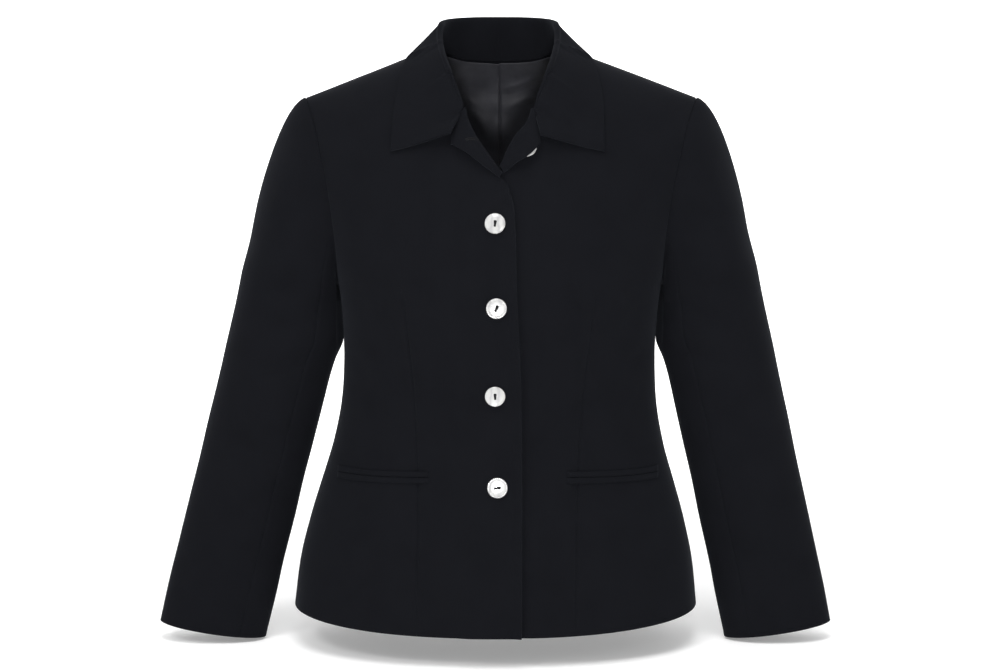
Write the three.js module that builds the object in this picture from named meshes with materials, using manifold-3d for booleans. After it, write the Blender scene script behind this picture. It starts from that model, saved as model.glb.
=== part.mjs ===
// A fitted, hip-length blazer, filled out as if worn and open at the neck, cuffs and hem.
// Units are millimetres. +Z is up, the front faces -Y, and +X is the wearer's left.
// The origin lies midway between the two side neck points, where the shoulders carry it.

import * as THREE from 'three';
import { mergeVertices } from 'three/addons/utils/BufferGeometryUtils.js';
import Module from 'manifold-3d';

const wasm = await Module();
wasm.setup();

// ---------- driving dimensions ----------

const CLOTH = 2.0;            // wall of the suiting cloth with its interlining
const LINING = 1.0;           // wall of the satin lining
const LINING_HEM = 20;        // the lining ends this far above the hem
const LINING_EASE = 1.4;      // the lining hangs this far inside the back
const SEAM_GAP = 0.3;         // clearance between sewn pieces
const HALF_GAP = SEAM_GAP / 2;
const ARMHOLE_GAP = 0.4;      // the same, round the armholes
const NECK_SEAM_GAP = 0.4;    // the same, along the neckline

const NECK_HALF_WIDTH = 69;   // side neck point, out from the centre
const SHOULDER_SLOPE = 0.385; // drop of the shoulder for each millimetre outwards
const SHOULDER_ROLL = 70;     // height over which the shoulder rolls into front and back
const ROUNDNESS = 2.3;        // exponent of the body's oval cross-section
const CUT_ROWS = 20;          // rows of faces from the neck to the hem of a panel

const LAP_LIFT = 2.8;         // how far the right front stands over the left one
const LAP_FADE = [24, 44];    // the lift ends between these distances from the centre
const UNDERLAP_EDGE = -21;    // edge of the left front, past the centre, under the right one
const DART_DEPTH = 0.9;       // the stitched dart pulls the cloth in by this much

const BUTTON_RADIUS = 10;
const BUTTON_THICKNESS = 2.2;
const BUTTON_X = -2;
const BUTTON_HEIGHTS = [-165.5, -247, -335, -425];
const NECK_BUTTON = { q: 27, z: -94 };

const BLACK_CLOTH = 0x17181c;
const BLACK_SATIN = 0x24252a;
const PEARL = 0xe4e2dc;

// Level sections of the body, seen from above: half width, depth in front and behind.
const BODY_SECTIONS = [
  { z: 40, width: 236, front: 44, back: 60 },
  { z: 0, width: 226, front: 58, back: 72 },
  { z: -50, width: 214, front: 75, back: 86 },
  { z: -100, width: 199, front: 95, back: 101 },
  { z: -150, width: 185, front: 108, back: 109 },
  { z: -200, width: 172, front: 118, back: 111 },
  { z: -240, width: 163, front: 122, back: 108 },
  { z: -280, width: 159, front: 119, back: 102 },
  { z: -320, width: 158.3, front: 112, back: 99 },
  { z: -360, width: 161.2, front: 108, back: 101 },
  { z: -400, width: 169, front: 109, back: 107 },
  { z: -440, width: 181, front: 114, back: 113 },
  { z: -480, width: 192.6, front: 120, back: 118 },
  { z: -520, width: 201.6, front: 125, back: 121 },
  { z: -575, width: 208.3, front: 130, back: 123 },
];

// Upper edge of a front, from the side neck point down the lapel's fold to its break.
const FRONT_NECKLINE = [
  { q: -21, z: -146 }, { q: -10, z: -127 }, { q: -1.7, z: -113.6 }, { q: 6.3, z: -104.2 },
  { q: 19.3, z: -82.5 }, { q: 32.3, z: -65 }, { q: 36.5, z: -61 }, { q: 41.5, z: -54 },
  { q: 47, z: -45 }, { q: 54, z: -34 }, { q: 61.5, z: -20 }, { q: 67, z: -7 }, { q: 69, z: 0 },
];

// Upper edge of the back, from the centre to the side neck point.
const BACK_NECKLINE = [
  { q: -34, z: -11 }, { q: 0, z: -13 }, { q: 34, z: -11 }, { q: 53, z: -5.5 }, { q: 64, z: -0.8 },
  { q: 69, z: 0 },
];

// Where the lengthwise rows of faces start along the neckline: collar and panels share them.
const FOLD_LINE_COLUMNS = [6, 14, 23, 31];
const FRONT_NECK_COLUMNS = [37, 42, 47, 52, 57, 62, 66.5];
const BACK_NECK_COLUMNS = [14, 28, 41, 52, 60.5, 66];
const LINING_NECK_COLUMNS = [24, 48];

// Lengthwise lines of a front, by height: the buttoned edge and the bust dart.
const RIGHT_FRONT_EDGE = [
  { z: 0, q: -1.7 }, { z: -113.6, q: -1.7 }, { z: -125, q: -7.5 }, { z: -139, q: -11.4 },
  { z: -150, q: -14.2 }, { z: -170, q: -15.8 }, { z: -239, q: -17.6 }, { z: -329, q: -21.5 },
  { z: -420, q: -22.6 }, { z: -575, q: -22.6 },
];
const LEFT_FRONT_EDGE = [{ z: 0, q: UNDERLAP_EDGE }, { z: -575, q: UNDERLAP_EDGE }];
const DART_LINE = [
  { z: 0, q: 69 }, { z: -100, q: 85 }, { z: -220, q: 94 }, { z: -326, q: 84 }, { z: -438, q: 78.5 },
  { z: -575, q: 79 },
];
const BACK_LINE = [
  { z: 0, q: 69 }, { z: -100, q: 82 }, { z: -220, q: 86 }, { z: -326, q: 78 }, { z: -575, q: 92 },
];

// Armhole: how far round the oval its front and back edges lie (90 is the side seam).
const ARMHOLE = [
  { z: -48.7, front: 64.5, back: 64.5 }, { z: -56, front: 62.8, back: 64.2 },
  { z: -75, front: 61.4, back: 64 }, { z: -99, front: 61.9, back: 64.6 },
  { z: -129, front: 62.8, back: 65.4 }, { z: -168, front: 66, back: 68 },
  { z: -200, front: 70.6, back: 72.4 }, { z: -222, front: 77.2, back: 78 },
  { z: -234, front: 83.5, back: 84 }, { z: -238, front: 90, back: 90 },
];

// Rings of the sleeve from the biceps to the cuff.
const SLEEVE_RINGS = [
  { z: -245, outer: 264, inner: 155, depth: 50, forward: 1 },
  { z: -285, outer: 273.5, inner: 155.5, depth: 49.5, forward: 2 },
  { z: -325, outer: 282.6, inner: 172, depth: 47.5, forward: 3 },
  { z: -365, outer: 292, inner: 183, depth: 44.5, forward: 4 },
  { z: -425, outer: 306.2, inner: 197.8, depth: 39, forward: 6.5 },
  { z: -485, outer: 320.4, inner: 211.8, depth: 34, forward: 9 },
  { z: -545, outer: 335.1, inner: 225.6, depth: 29.5, forward: 11.5 },
  { z: -592.4, outer: 345.5, inner: 236.3, depth: 27, forward: 13 },
];
const SLEEVE_CLEAR = 0.9;                        // the sleeve hangs this far off the body
const BESIDE_BELOW = -120;                      // above this height the shoulder rolls away from it
const SLEEVE_TILT = THREE.MathUtils.degToRad(8.8);
const HEAD_ROWS = 6;                            // rows of faces over the sleeve head
const ARM_ROWS = 8;                             // rows of faces from the biceps to the cuff
const FRONT_SLEEVE_SEAM = 123;                  // degrees round from the outside of the arm
const BACK_SLEEVE_SEAM = 236;
const SLEEVE_SEAM_HALF = 0.25;                  // degrees left open each side of a sleeve seam
const HEAD_ROPE = 0.8;                          // the sleeve head stands over its seam
// How the sleeve head leaves the armhole and arrives at the biceps, at its top and its foot.
const HEAD_LEAVES = { top: { out: 96, down: 50 }, foot: { out: 4, down: 10 }, forward: 14 };
const HEAD_ARRIVES = { direction: [0.235, -0.02, -0.97], top: 96, foot: 14 };

// The worn blazer hangs a little to one side: how far its sides are shifted, by height.
const HANG = [
  { z: 40, x: 0.2 }, { z: 0, x: 0.8 }, { z: -50, x: 2.8 }, { z: -150, x: 1.8 }, { z: -300, x: 1.1 },
  { z: -400, x: -0.4 }, { z: -500, x: -2 }, { z: -600, x: -3.6 },
];
const HANG_FROM = 130;                          // the shift grows from the centre to here

// Half of the collar, from the centre back to the gorge.
// neck: its seam on the body; fold: the crest; edge: the fall's outer edge on the body.
// A roll of 0 is on the shoulder seam, 90 where the front turns upright, minus is behind.
const COLLAR_STATIONS = [
  { neckQ: 0, foldX: 0, foldY: 66, foldZ: 30, edgeQ: 0, edgeRoll: -73 },
  { neckQ: 34, foldX: 30, foldY: 61, foldZ: 30, edgeQ: 41, edgeRoll: -62 },
  { neckQ: 53, foldX: 49, foldY: 44, foldZ: 29.4, edgeQ: 68, edgeRoll: -46 },
  { neckQ: 64, foldX: 57.5, foldY: 26, foldZ: 28, edgeQ: 80.5, edgeRoll: -25 },
  { neckQ: 69, foldX: 59.5, foldY: 8, foldZ: 25, edgeQ: 86, edgeRoll: 1 },
  { neckQ: 67, foldX: 60.5, foldY: -8, foldZ: 14.5, edgeQ: 92, edgeRoll: 20 },
  { neckQ: 61.5, foldX: 57.5, foldY: -24, foldZ: 4, edgeQ: 96.8, edgeRoll: 39 },
  { neckQ: 54, foldX: 52.5, foldY: -40, foldZ: -8, edgeQ: 99.8, edgeRoll: 55 },
  { neckQ: 47, foldX: 46.5, foldY: -54, foldZ: -21, edgeQ: 102, edgeRoll: 69 },
  { neckQ: 41.5, foldX: 40.5, foldY: -66, foldZ: -39, edgeQ: 102.7, edgeRoll: 79 },
  { neckQ: 37, foldX: 35.5, foldY: -79.5, foldZ: -56, edgeQ: 103.2, edgeRoll: 88 },
];
const COLLAR_WALL = 2.4;
const COLLAR_POINT = { q: 103.5, z: -98.8 };
const GORGE_TOP = { q: 36.5, z: -61.5 };
const GORGE_END = { right: { q: 46, z: -85 }, left: { q: 39.5, z: -86.5 } };
const POINT_FLARE = { right: 2.8, left: -3 };   // the points hang a little unevenly

// Turned-back tops of the fronts, from the gorge to the break: fold line and free edge.
const REVERS = {
  right: [
    { foldQ: 34, foldZ: -63.3, edgeQ: 45.5, edgeZ: -90.5 },
    { foldQ: 27, foldZ: -73.3, edgeQ: 36.5, edgeZ: -96.5 },
    { foldQ: 18.5, foldZ: -84.7, edgeQ: 26, edgeZ: -103.5 },
    { foldQ: 9.5, foldZ: -99.2, edgeQ: 14.5, edgeZ: -110.5 },
    { foldQ: 1.5, foldZ: -110.5, edgeQ: 3.5, edgeZ: -116.5 },
  ],
  left: [
    { foldQ: 34, foldZ: -63.3, edgeQ: 38.6, edgeZ: -91 },
    { foldQ: 27, foldZ: -73.3, edgeQ: 33.5, edgeZ: -99 },
    { foldQ: 18.5, foldZ: -84.7, edgeQ: 25.5, edgeZ: -106 },
    { foldQ: 11, foldZ: -97.2, edgeQ: 15.5, edgeZ: -110.5 },
    { foldQ: 6.5, foldZ: -104.8, edgeQ: 8.5, edgeZ: -111.5 },
  ],
};

// Jetted pockets: two welts side by side, their inner ends nearer the buttons.
const POCKET = { inner: 66, outer: 162, top: -410.5, droop: 4, welt: 6, clear: 0.75, proud: 1.3 };

// ---------- small helpers ----------

const mix = (a, b, t) => a + (b - a) * t;
const clamp01 = (t) => Math.min(1, Math.max(0, t));
const smooth = (t) => clamp01(t) ** 2 * (3 - 2 * clamp01(t));
const signedPower = (value, exponent) => Math.sign(value) * Math.abs(value) ** exponent;

// Reads a column of a table at any place along its key, on a smooth curve through the rows.
function column(rows, key, name) {
  const slope = (i) => {
    const a = rows[Math.max(0, i - 1)];
    const b = rows[Math.min(rows.length - 1, i + 1)];
    return (b[name] - a[name]) / (b[key] - a[key]);
  };
  const down = rows[0][key] > rows[rows.length - 1][key];
  return (at) => {
    let i = rows.findIndex((row) => (down ? row[key] <= at : row[key] >= at));
    i = i < 0 ? rows.length - 1 : Math.max(1, i);
    const a = rows[i - 1];
    const b = rows[i];
    const span = b[key] - a[key];
    const t = clamp01((at - a[key]) / span);
    const near = (2 * t ** 3 - 3 * t ** 2 + 1) * a[name] + (t ** 3 - 2 * t ** 2 + t) * span * slope(i - 1);
    return near + (3 * t ** 2 - 2 * t ** 3) * b[name] + (t ** 3 - t ** 2) * span * slope(i);
  };
}

// A point on the line through a list of stations, by a number from 0 to 1.
function along(stations, t) {
  const place = clamp01(t) * (stations.length - 1);
  const rows = stations.map((station, i) => ({ ...station, i }));
  const names = Object.keys(stations[0]);
  return Object.fromEntries(names.map((name) => [name, column(rows, 'i', name)(place)]));
}

// ---------- the body's form ----------
// q is the distance out from the centre, towards the wearer's own side.
// face is -1 on the fronts and 1 on the back.

const bodyWidth = column(BODY_SECTIONS, 'z', 'width');
const frontDepth = column(BODY_SECTIONS, 'z', 'front');
const backDepth = column(BODY_SECTIONS, 'z', 'back');
const bodyDepth = (face, z) => (face < 0 ? frontDepth(z) : backDepth(z));
const ridge = (q) => SHOULDER_SLOPE * (NECK_HALF_WIDTH - Math.abs(q));

// The share of the full depth that is reached this far below the shoulder line.
function roll(drop) {
  const t = clamp01(drop / SHOULDER_ROLL);
  return Math.sqrt(1 - (1 - t) ** 2);
}

const dropAtRoll = (degrees) => {
  const angle = THREE.MathUtils.degToRad(Math.abs(degrees));
  if (angle < Math.PI / 2) return SHOULDER_ROLL * (1 - Math.cos(angle));
  return SHOULDER_ROLL * (1 + angle - Math.PI / 2);
};

function bodyY(face, q, z) {
  const share = clamp01(Math.abs(q) / bodyWidth(z)) ** ROUNDNESS;
  const depth = bodyDepth(face, z) * (1 - share) ** (1 / ROUNDNESS) * roll(ridge(q) - z);
  return face * Math.max(HALF_GAP, depth);
}

// The outward direction of the body's surface through a point near it.
function outward(face, q, z, y) {
  if (Math.abs(y) <= HALF_GAP + 1e-9 && z > ridge(q) - 1e-3) {
    return new THREE.Vector3(SHOULDER_SLOPE * Math.sign(q), 0, 1).normalize();
  }
  const step = 0.5;
  const width = bodyWidth(z);
  const depth = bodyDepth(face, z);
  const widthRate = (bodyWidth(z + step) - bodyWidth(z - step)) / (2 * step * width);
  const depthRate = (bodyDepth(face, z + step) - bodyDepth(face, z - step)) / (2 * step * depth);
  const share = Math.max(1e-6, Math.abs(q) / width) ** ROUNDNESS;
  const drop = Math.max(1e-4, ridge(q) - z);
  const t = drop / SHOULDER_ROLL;
  const rolled = t < 1 ? (1 - t) / (SHOULDER_ROLL * roll(drop) ** 2) : 0;
  const rest = Math.max(1e-6, 1 - share);
  const gradQ = share / Math.max(1e-3, Math.abs(q)) + rest * rolled * SHOULDER_SLOPE;
  const gradZ = -share * widthRate - rest * depthRate + rest * rolled;
  const gradY = rest / Math.max(HALF_GAP, Math.abs(y));
  const seam = Math.abs(y) <= HALF_GAP + 1e-9;
  return new THREE.Vector3(gradQ * Math.sign(q), seam ? 0 : face * gradY, gradZ).normalize();
}

// A point of the body's surface, moved out by lift. Its x is still q, not yet mirrored.
function bodyPoint(face, q, z, lift = 0) {
  const y = bodyY(face, q, z);
  return new THREE.Vector3(q, y, z).addScaledVector(outward(face, q, z, y), lift);
}

// Moves a point out of the body until it stands at least this high above the surface.
function keepAbove(point, height) {
  const face = point.y < 0 ? -1 : 1;
  const lifted = point.clone();
  for (let pass = 0; pass < 8; pass += 1) {
    const z = Math.min(lifted.z, ridge(lifted.x) - 0.01);
    const y = bodyY(face, lifted.x, z);
    const normal = outward(face, lifted.x, z, y);
    const surface = new THREE.Vector3(lifted.x, y, z);
    const above = lifted.clone().sub(surface).dot(normal);
    if (above < height) lifted.addScaledVector(normal, height - above);
  }
  return lifted;
}

// Moves a point beside the body straight out of its oval until it stands this far off.
function keepBeside(point, distance) {
  const moved = point.clone();
  const depth = bodyDepth(point.y < 0 ? -1 : 1, point.z);
  const width = bodyWidth(point.z);
  for (let pass = 0; pass < 6; pass += 1) {
    const shareX = Math.abs(moved.x / width) ** ROUNDNESS;
    const shareY = Math.abs(moved.y / depth) ** ROUNDNESS;
    const reach = (shareX + shareY) ** (1 / ROUNDNESS);
    const slope = new THREE.Vector3(shareX / moved.x, shareY / (moved.y || 1), 0);
    slope.multiplyScalar(reach ** (1 - ROUNDNESS));
    const off = (reach - 1) / slope.length();
    if (off < distance) moved.addScaledVector(slope.normalize(), distance - off);
  }
  return moved;
}

// Angle round the oval for a distance out, and the distance out for an angle.
const ovalAngle = (q, z) => Math.asin(signedPower(Math.max(-1, Math.min(1, q / bodyWidth(z))), ROUNDNESS / 2));
const ovalOut = (angle, z) => bodyWidth(z) * signedPower(Math.sin(angle), 2 / ROUNDNESS);

// ---------- closed walls ----------

const sideSign = { right: -1, left: 1 };

// A closed solid from a grid of wall points: at(i, j) gives its outer and inner point.
function wallGeometry(countI, countJ, at, mirror = 1, closedI = false) {
  const vertices = [];
  const lastI = closedI ? countI : countI + 1;
  for (let i = 0; i < lastI; i += 1) {
    for (let j = 0; j <= countJ; j += 1) {
      const { outer, inner } = at(i, j);
      vertices.push([outer.x * mirror, outer.y, outer.z], [inner.x * mirror, inner.y, inner.z]);
    }
  }
  const index = (i, j, layer) => 2 * ((i % lastI) * (countJ + 1) + j) + layer;
  const faces = [];
  const quad = (a, b, c, d) => faces.push([a, b, c], [a, c, d]);
  for (let i = 0; i < countI; i += 1) {
    for (let j = 0; j < countJ; j += 1) {
      quad(index(i, j, 0), index(i + 1, j, 0), index(i + 1, j + 1, 0), index(i, j + 1, 0));
      quad(index(i, j, 1), index(i, j + 1, 1), index(i + 1, j + 1, 1), index(i + 1, j, 1));
    }
    quad(index(i, 0, 0), index(i, 0, 1), index(i + 1, 0, 1), index(i + 1, 0, 0));
    quad(index(i, countJ, 0), index(i + 1, countJ, 0), index(i + 1, countJ, 1), index(i, countJ, 1));
  }
  if (!closedI) {
    for (let j = 0; j < countJ; j += 1) {
      quad(index(0, j, 0), index(0, j + 1, 0), index(0, j + 1, 1), index(0, j, 1));
      quad(index(countI, j, 0), index(countI, j, 1), index(countI, j + 1, 1), index(countI, j + 1, 0));
    }
  }
  return closedGeometry(vertices, faces);
}

// Builds the geometry with its faces pointing out, whichever way the grid ran.
function closedGeometry(vertices, faces) {
  let volume = 0;
  for (const [a, b, c] of faces) {
    const cross = new THREE.Vector3(...vertices[b]).cross(new THREE.Vector3(...vertices[c]));
    volume += new THREE.Vector3(...vertices[a]).dot(cross);
  }
  const turned = volume < 0 ? faces.map(([a, b, c]) => [a, c, b]) : faces;
  const geometry = new THREE.BufferGeometry();
  geometry.setAttribute('position', new THREE.Float32BufferAttribute(vertices.flat(), 3));
  geometry.setIndex(turned.flat());
  return geometry;
}

function toManifold(geometry) {
  const bare = geometry.clone();
  bare.deleteAttribute('normal');
  bare.deleteAttribute('uv');
  const merged = mergeVertices(bare, 1e-4);
  return new wasm.Manifold(new wasm.Mesh({
    numProp: 3,
    vertProperties: Float32Array.from(merged.attributes.position.array),
    triVerts: Uint32Array.from(merged.index.array),
  }));
}

function fromManifold(solid) {
  const mesh = solid.getMesh();
  const geometry = new THREE.BufferGeometry();
  geometry.setAttribute('position', new THREE.BufferAttribute(mesh.vertProperties, 3));
  geometry.setIndex(new THREE.BufferAttribute(mesh.triVerts, 1));
  return geometry;
}

// ---------- materials and the group ----------

const blazer = new THREE.Group();

const FINISHES = {
  cloth: { color: BLACK_CLOTH, roughness: 0.92, metalness: 0 },
  satin: { color: BLACK_SATIN, roughness: 0.5, metalness: 0 },
  pearl: { color: PEARL, roughness: 0.25, metalness: 0 },
};

const hangAt = column(HANG, 'z', 'x');

function addPiece(name, geometry, finish) {
  const places = geometry.getAttribute('position');
  for (let i = 0; i < places.count; i += 1) {
    const x = places.getX(i);
    places.setX(i, x + hangAt(places.getZ(i)) * smooth(Math.abs(x) / HANG_FROM));
  }
  geometry.computeVertexNormals();
  const mesh = new THREE.Mesh(geometry, new THREE.MeshStandardMaterial(FINISHES[finish]));
  mesh.name = name;
  blazer.add(mesh);
}

// ---------- armholes ----------

const armholeFront = column(ARMHOLE, 'z', 'front');
const armholeBack = column(ARMHOLE, 'z', 'back');

// The armhole's edge on the body, as points with their outward directions, from the top
// down the front and up the back, evenly spaced.
function armholeLoop() {
  const top = ARMHOLE[0].z;
  const bottom = ARMHOLE[ARMHOLE.length - 1].z;
  const fine = [];
  const steps = 120;
  for (let k = 0; k < 2 * steps; k += 1) {
    const face = k < steps ? -1 : 1;
    const phase = (Math.PI * k) / steps;
    const z = mix(top, bottom, (1 - Math.cos(phase)) / 2);
    const degrees = face < 0 ? armholeFront(z) : armholeBack(z);
    const q = ovalOut(THREE.MathUtils.degToRad(degrees), z);
    const height = Math.min(z, ridge(q));
    const y = bodyY(face, q, height);
    fine.push({ point: new THREE.Vector3(q, y, height), normal: outward(face, q, height, y) });
  }
  const loop = new THREE.CatmullRomCurve3(fine.map((entry) => entry.point), true);
  loop.arcLengthDivisions = 1000;
  return (degrees) => {
    const place = (((degrees % 360) + 360) % 360) / 360;
    const point = loop.getPointAt(place);
    const tangent = loop.getTangentAt(place);
    const near = fine.reduce((best, entry) => (
      entry.point.distanceTo(point) < best.point.distanceTo(point) ? entry : best));
    const normal = near.normal.clone().addScaledVector(tangent, -near.normal.dot(tangent)).normalize();
    const into = new THREE.Vector3().crossVectors(normal, tangent).normalize();
    return { point, normal, into };
  };
}

const armholeAt = armholeLoop();

// Columns of the sleeve panels, closer together over the tight bend at the shoulder point.
const TOP_SLEEVE_DEGREES = Array.from({ length: 21 }, (_, i) => {
  const share = i / 10 - 1;
  const reach = share < 0 ? 360 - BACK_SLEEVE_SEAM : FRONT_SLEEVE_SEAM;
  return signedPower(share, 1.5) * reach;
});
const UNDER_SLEEVE_DEGREES = Array.from({ length: 10 }, (_, i) => (
  mix(FRONT_SLEEVE_SEAM, BACK_SLEEVE_SEAM, i / 9)));

// A plug that fills the armhole: it cuts the body's wall square to the cloth.
function armholeCutter(mirror) {
  const reach = [4, -7];
  const apexOut = new THREE.Vector3(320, 0, -70);
  const apexIn = new THREE.Vector3(110, 0, -140);
  const vertices = [apexOut, apexIn];
  const degrees = [...TOP_SLEEVE_DEGREES.slice(1), ...UNDER_SLEEVE_DEGREES.slice(1)];
  for (const place of degrees) {
    const { point, normal } = armholeAt(place);
    for (const distance of reach) vertices.push(point.clone().addScaledVector(normal, distance));
  }
  const at = (i, layer) => 2 + 2 * (i % degrees.length) + layer;
  const faces = [];
  for (let i = 0; i < degrees.length; i += 1) {
    faces.push([0, at(i, 0), at(i + 1, 0)]);
    const behind = degrees[i] < 0 || degrees[i] > 180;
    const [a, b, c, d] = [at(i, 0), at(i, 1), at(i + 1, 1), at(i + 1, 0)];
    faces.push(...(behind ? [[a, b, d], [b, c, d]] : [[a, b, c], [a, c, d]]));
    faces.push([1, at(i + 1, 1), at(i, 1)]);
  }
  return toManifold(closedGeometry(vertices.map((v) => [v.x * mirror, v.y, v.z]), faces));
}

const ARMHOLE_PLUG = { right: armholeCutter(sideSign.right), left: armholeCutter(sideSign.left) };

// ---------- body panels ----------

const frontNeckline = column(FRONT_NECKLINE, 'q', 'z');
const backNeckline = column(BACK_NECKLINE, 'q', 'z');
const hemHeight = (angle, face) => -566 - (face < 0 ? 6.6 : 2) * Math.cos(angle) ** 2;
const rowShare = (j, rows) => (j / rows) ** 1.7;

// The highest point of a lengthwise line, on the neckline or on the shoulder seam.
function topOfLine(outAt, face) {
  const limit = (q) => {
    if (Math.abs(q) >= NECK_HALF_WIDTH) return ridge(q);
    return face < 0 ? frontNeckline(q) : backNeckline(q);
  };
  let low = -300;
  let high = 20;
  for (let pass = 0; pass < 40; pass += 1) {
    const middle = (low + high) / 2;
    if (middle > limit(outAt(middle))) high = middle;
    else low = middle;
  }
  return low;
}

// A lengthwise line of a panel: share 0 is its centre edge, 1 its dart line, 2 the side seam.
function panelLine(edge, middle, share) {
  return (z) => {
    const start = ovalAngle(edge(z), z);
    const turn = ovalAngle(middle(z), z);
    const angle = share < 1 ? mix(start, turn, share) : mix(turn, Math.PI / 2, share - 1);
    return ovalOut(angle, z);
  };
}

function panelPoint(face, outAt, j, rows, lift, hemRise) {
  const top = topOfLine(outAt, face);
  const low = hemHeight(ovalAngle(outAt(-568), -568), face) + hemRise;
  const z = mix(top, low, rowShare(j, rows));
  const q = outAt(z);
  const out = lift(q, z);
  return { outer: bodyPoint(face, q, z, out.outer), inner: bodyPoint(face, q, z, out.inner) };
}

const lapLift = (q) => LAP_LIFT * (1 - smooth((q - LAP_FADE[0]) / (LAP_FADE[1] - LAP_FADE[0])));

const dartAt = column(DART_LINE, 'z', 'q');
function dartGroove(q, z) {
  const share = smooth((z + 560) / 90) * smooth((-225 - z) / 40);
  return DART_DEPTH * share * Math.exp(-(((q - dartAt(z)) / 3) ** 2));
}

// The share of the lengthwise line that meets the neckline this far out.
function shareThrough(q, edge, middle, neckline) {
  const z = neckline(q);
  const start = ovalAngle(edge(z), z);
  return (ovalAngle(q, z) - start) / (ovalAngle(middle(z), z) - start);
}

const OUTER_COLUMNS = 8;
const OUTER_SHARES = Array.from({ length: OUTER_COLUMNS + 1 }, (_, i) => 1 + i / OUTER_COLUMNS);

function addFront(side) {
  const edge = column(side === 'right' ? RIGHT_FRONT_EDGE : LEFT_FRONT_EDGE, 'z', 'q');
  const inner = [...FOLD_LINE_COLUMNS, ...FRONT_NECK_COLUMNS];
  const lines = [0, ...inner.map((q) => shareThrough(q, edge, dartAt, frontNeckline)), ...OUTER_SHARES];
  const lift = (q, z) => {
    const out = (side === 'right' ? lapLift(q) : 0) - dartGroove(q, z);
    return { outer: out, inner: out - CLOTH };
  };
  const outAt = lines.map((share) => panelLine(edge, dartAt, share));
  const at = (i, j) => panelPoint(-1, outAt[i], j, CUT_ROWS, lift, 0);
  const wall = wallGeometry(lines.length - 1, CUT_ROWS, at, sideSign[side]);
  const cut = toManifold(wall).subtract(ARMHOLE_PLUG[side]);
  addPiece(`front_${side}`, fromManifold(cut), 'cloth');
}

// Both back pieces run from side seam to side seam: shares below 0 are on the wearer's right.
const backCentre = () => 0;
const backMiddle = column(BACK_LINE, 'z', 'q');

function backWall(lines, rows, lift, hemRise) {
  const outAt = lines.map((share) => panelLine(backCentre, backMiddle, Math.abs(share)));
  const at = (i, j) => {
    const mirror = lines[i] < 0 ? -1 : 1;
    const wall = panelPoint(1, outAt[i], j, rows, (q) => lift(q * mirror), hemRise);
    wall.outer.x *= mirror;
    wall.inner.x *= mirror;
    return wall;
  };
  return toManifold(wallGeometry(lines.length - 1, rows, at))
    .subtract(ARMHOLE_PLUG.right).subtract(ARMHOLE_PLUG.left);
}

const bothSides = (shares, middle) => [...shares.map((share) => -share).reverse(), ...middle, ...shares];
const backShares = (columns) => [
  ...columns.map((q) => shareThrough(q, backCentre, backMiddle, backNeckline)), ...OUTER_SHARES];

function addBack() {
  const lines = bothSides(backShares(BACK_NECK_COLUMNS), [0]);
  const lift = () => ({ outer: 0, inner: -CLOTH });
  addPiece('back', fromManifold(backWall(lines, CUT_ROWS, lift, 0)), 'cloth');
}

// The lining has an ease pleat down its centre: a step that lies to the wearer's right.
function addBackLining() {
  const lines = bothSides(backShares(LINING_NECK_COLUMNS), [-0.03, 0.03]);
  const pleatWidth = 20;
  const pleatDepth = 1.3;
  const lift = (x) => {
    const raised = x < 0 ? pleatDepth * (1 - smooth(-x / pleatWidth)) : 0;
    const outer = -CLOTH - LINING_EASE - raised;
    return { outer, inner: outer - LINING };
  };
  addPiece('back_lining', fromManifold(backWall(lines, 15, lift, LINING_HEM)), 'satin');
}

// ---------- sleeves ----------

const ringColumn = Object.fromEntries(
  ['outer', 'inner', 'depth', 'forward'].map((name) => [name, column(SLEEVE_RINGS, 'z', name)]));
const BICEPS = SLEEVE_RINGS[0].z;
const CUFF = SLEEVE_RINGS[SLEEVE_RINGS.length - 1].z;

function ringPoint(degrees, z) {
  const angle = THREE.MathUtils.degToRad(degrees);
  const outer = ringColumn.outer(z);
  const inner = ringColumn.inner(z);
  const half = (outer - inner) / 2;
  return new THREE.Vector3(
    (outer + inner) / 2 + half * Math.cos(angle),
    -ringColumn.forward(z) - ringColumn.depth(z) * Math.sin(angle),
    z + half * Math.cos(angle) * Math.tan(SLEEVE_TILT),
  );
}

// The roped edge of the sleeve head, just inside the armhole.
function headStart(degrees) {
  const { point, normal, into } = armholeAt(degrees);
  return point.addScaledVector(normal, HEAD_ROPE).addScaledVector(into, HEAD_ROPE + ARMHOLE_GAP);
}

// A point of the sleeve head, from its roped edge (0) to the biceps (1).
function headPoint(degrees, t) {
  const angle = THREE.MathUtils.degToRad(degrees);
  const high = (1 + Math.cos(angle)) / 2;
  const start = headStart(degrees);
  const end = ringPoint(degrees, BICEPS);
  const { top, foot, forward } = HEAD_LEAVES;
  const leave = new THREE.Vector3(
    mix(foot.out, top.out, high), -forward * Math.sin(angle), -mix(foot.down, top.down, high));
  const arrive = new THREE.Vector3(...HEAD_ARRIVES.direction)
    .multiplyScalar(mix(HEAD_ARRIVES.foot, HEAD_ARRIVES.top, high));
  return new THREE.Vector3()
    .addScaledVector(start, 2 * t ** 3 - 3 * t ** 2 + 1)
    .addScaledVector(leave, t ** 3 - 2 * t ** 2 + t)
    .addScaledVector(end, 3 * t ** 2 - 2 * t ** 3)
    .addScaledVector(arrive, t ** 3 - t ** 2);
}

// Row 0 lies in the armhole seam, then come the sleeve head and the arm.
function sleeveSurface(degrees, row) {
  const point = row <= 1 + HEAD_ROWS
    ? headPoint(degrees, (row - 1) / HEAD_ROWS)
    : ringPoint(degrees, mix(BICEPS, CUFF, (row - 1 - HEAD_ROWS) / ARM_ROWS));
  return point.z > BESIDE_BELOW ? point : keepBeside(point, SLEEVE_CLEAR * clamp01(row - 1));
}

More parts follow.
